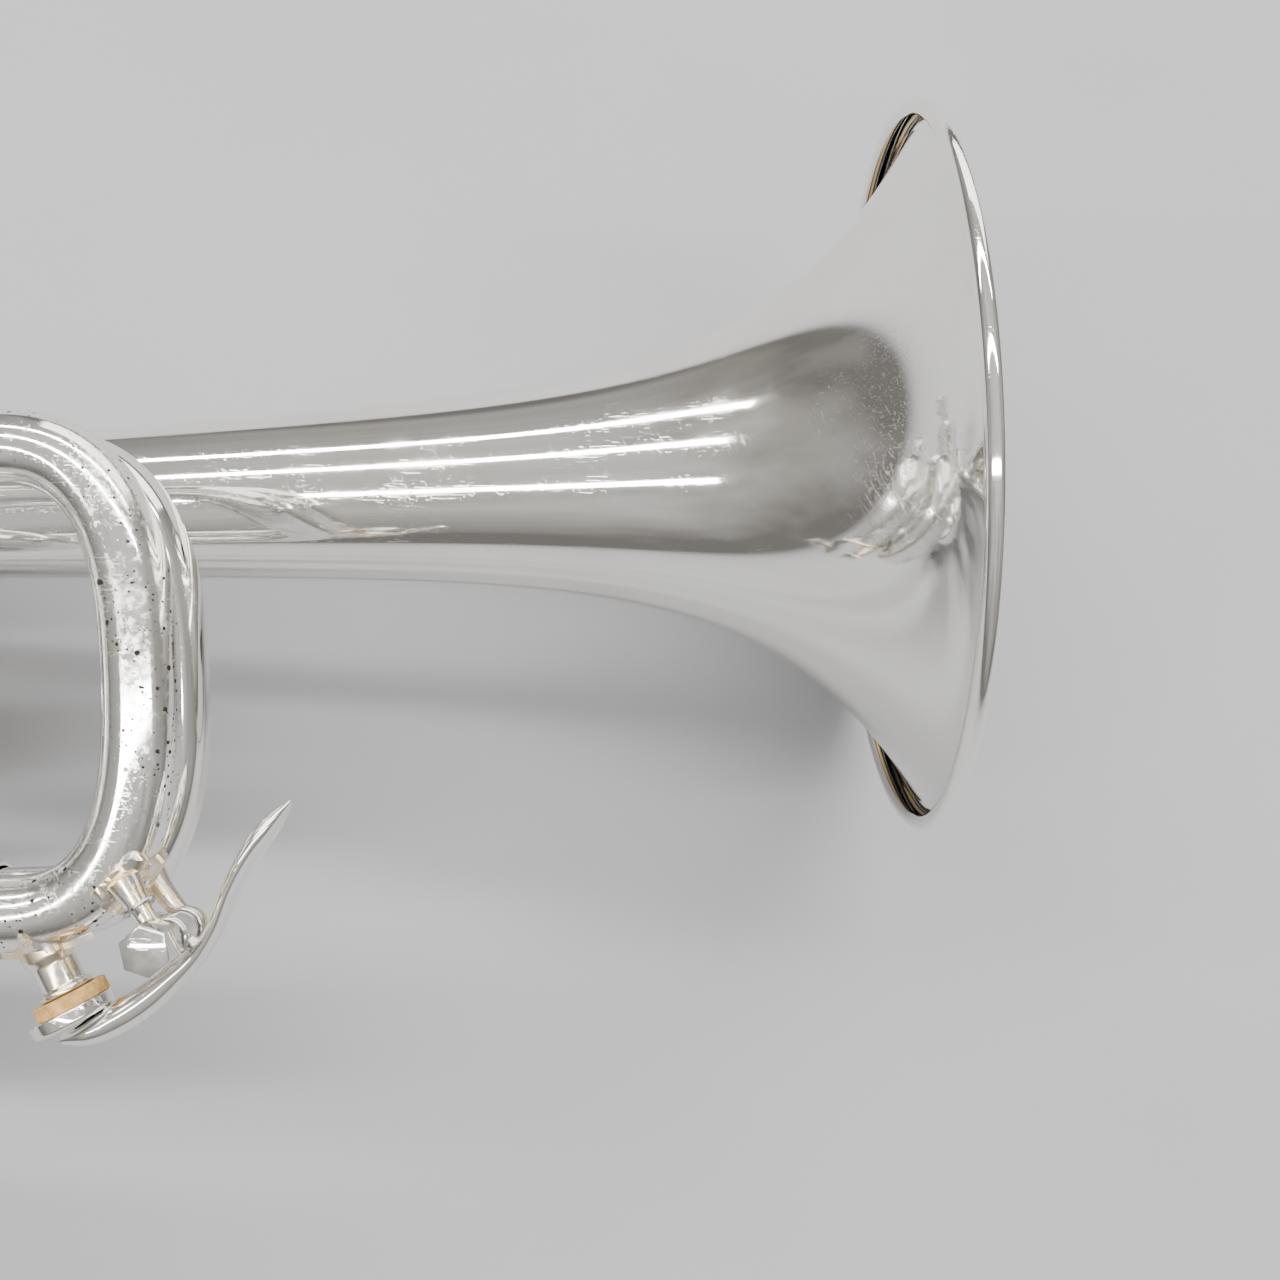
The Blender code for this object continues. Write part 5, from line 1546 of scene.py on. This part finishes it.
def add_strip(name, direction, distance, length, width, power, tint):
    """A long soft light that lies along the bell and faces it."""
    light = bpy.data.lights.new(name, "AREA")
    light.shape = "RECTANGLE"
    light.size = length
    light.size_y = width
    light.energy = power
    light.color = tint
    lamp = bpy.data.objects.new(name, light)
    back = direction.normalized()
    side = (FORWARD - back * FORWARD.dot(back)).normalized()
    turn = Matrix((side, back.cross(side), back)).transposed().to_4x4()
    turn.translation = LIGHTS_MIDDLE + direction * distance
    lamp.matrix_world = PLACE @ turn
    bpy.context.scene.collection.objects.link(lamp)


def light_room():
    """Three ceiling tubes over the object, a broad soft fill and a dim grey surround."""
    tube = {"distance": 1.6, "length": 3.0, "width": 0.12, "power": 34, "tint": (1.0, 0.99, 0.97)}
    for name, angle in (("tube_high", 57), ("tube_middle", 29), ("tube_low", -5)):
        add_strip(name, seen_from(angle), **tube)
    fill = seen_from(88, lean=0.3)
    add_strip("soft_fill", fill, distance=2.0, length=2.2, width=1.0, power=24, tint=(1.0, 0.96, 0.90))
    world = bpy.data.worlds.new("room")
    world.use_nodes = True
    tree = world.node_tree
    away = wire_node(tree, "ShaderNodeTexCoord").outputs["Generated"]
    height = wire_node(tree, "ShaderNodeSeparateXYZ", {"Vector": away}).outputs["Z"]
    cloud = noise(tree, away, scale=2.6, detail=3, roughness=0.5)
    level = plus(tree, height, remap(tree, cloud, 0.3, 0.7, -0.22, 0.22))
    wall = mixed(tree, remap(tree, level, 0.05, 0.45), DARK_WALL, PALE_WALL)
    tint = mixed(tree, remap(tree, level, 0.50, 0.95), wall, CEILING)
    connect(tree, tree.nodes["Background"], {"Color": tint, "Strength": 1.0})
    bpy.context.scene.world = world


def place_camera():
    """Square on to the bows, over the player's right side, close to the bell."""
    lens = bpy.data.cameras.new("camera")
    lens.lens = LENS
    lens.sensor_width = SENSOR
    lens.clip_start = 0.01
    right = FORWARD * math.cos(CAMERA_ROLL) - UP * math.sin(CAMERA_ROLL)
    upward = FORWARD * math.sin(CAMERA_ROLL) + UP * math.cos(CAMERA_ROLL)
    turn = Matrix((right, upward, RIGHT)).transposed().to_4x4()
    turn.translation = CAMERA_PLACE
    camera = bpy.data.objects.new("camera", lens)
    camera.matrix_world = PLACE @ turn
    bpy.context.scene.collection.objects.link(camera)
    bpy.context.scene.camera = camera


# ---- assembly


def build_valves():
    for number, name in ((1, "first_slide"), (2, "second_slide"), (3, "third_slide")):
        moving = f"valve_{number}"
        build_casing(number, "cornet")
        build_piston(number, moving)
        build_button(number, moving)
        build_guide(number, "cornet")
        build_piston_spring(number, "cornet")
        build_caps(number, "cornet")
        build_valve_slide(number, name, "cornet", name)


def main():
    make_looks()
    build_bell("cornet")
    build_rim_wire("cornet")
    build_rear_bow("cornet")
    build_bell_ferrule("cornet")
    build_bows("cornet")
    build_bow_ferrule("near_bow_ferrule", NEAR_JOINT_X, LEAD_Y, NEAR_Z, "cornet")
    build_bow_ferrule("far_bow_ferrule", FAR_JOINT_X, MAIN_PORT_Y, FAR_Z, "cornet")
    build_leadpipe("cornet")
    build_receiver("cornet")
    build_entry_tube("cornet")
    build_mouthpiece("mouthpiece")
    build_tuning_slide("cornet", "tuning_slide")
    build_valves()
    build_braces("cornet")
    build_finger_hook("cornet")
    build_nipple("cornet")
    build_saddle("cornet")
    build_pivot_screw("cornet")
    build_lever("water_key")
    build_cork("water_key")
    build_key_spring("cornet")

    pieces = [obj for obj in bpy.context.scene.objects if obj.type == "MESH" and not obj.hide_render]
    build_floor(min((obj.matrix_world @ v.co).z for obj in pieces for v in obj.data.vertices))
    light_room()
    place_camera()


main()
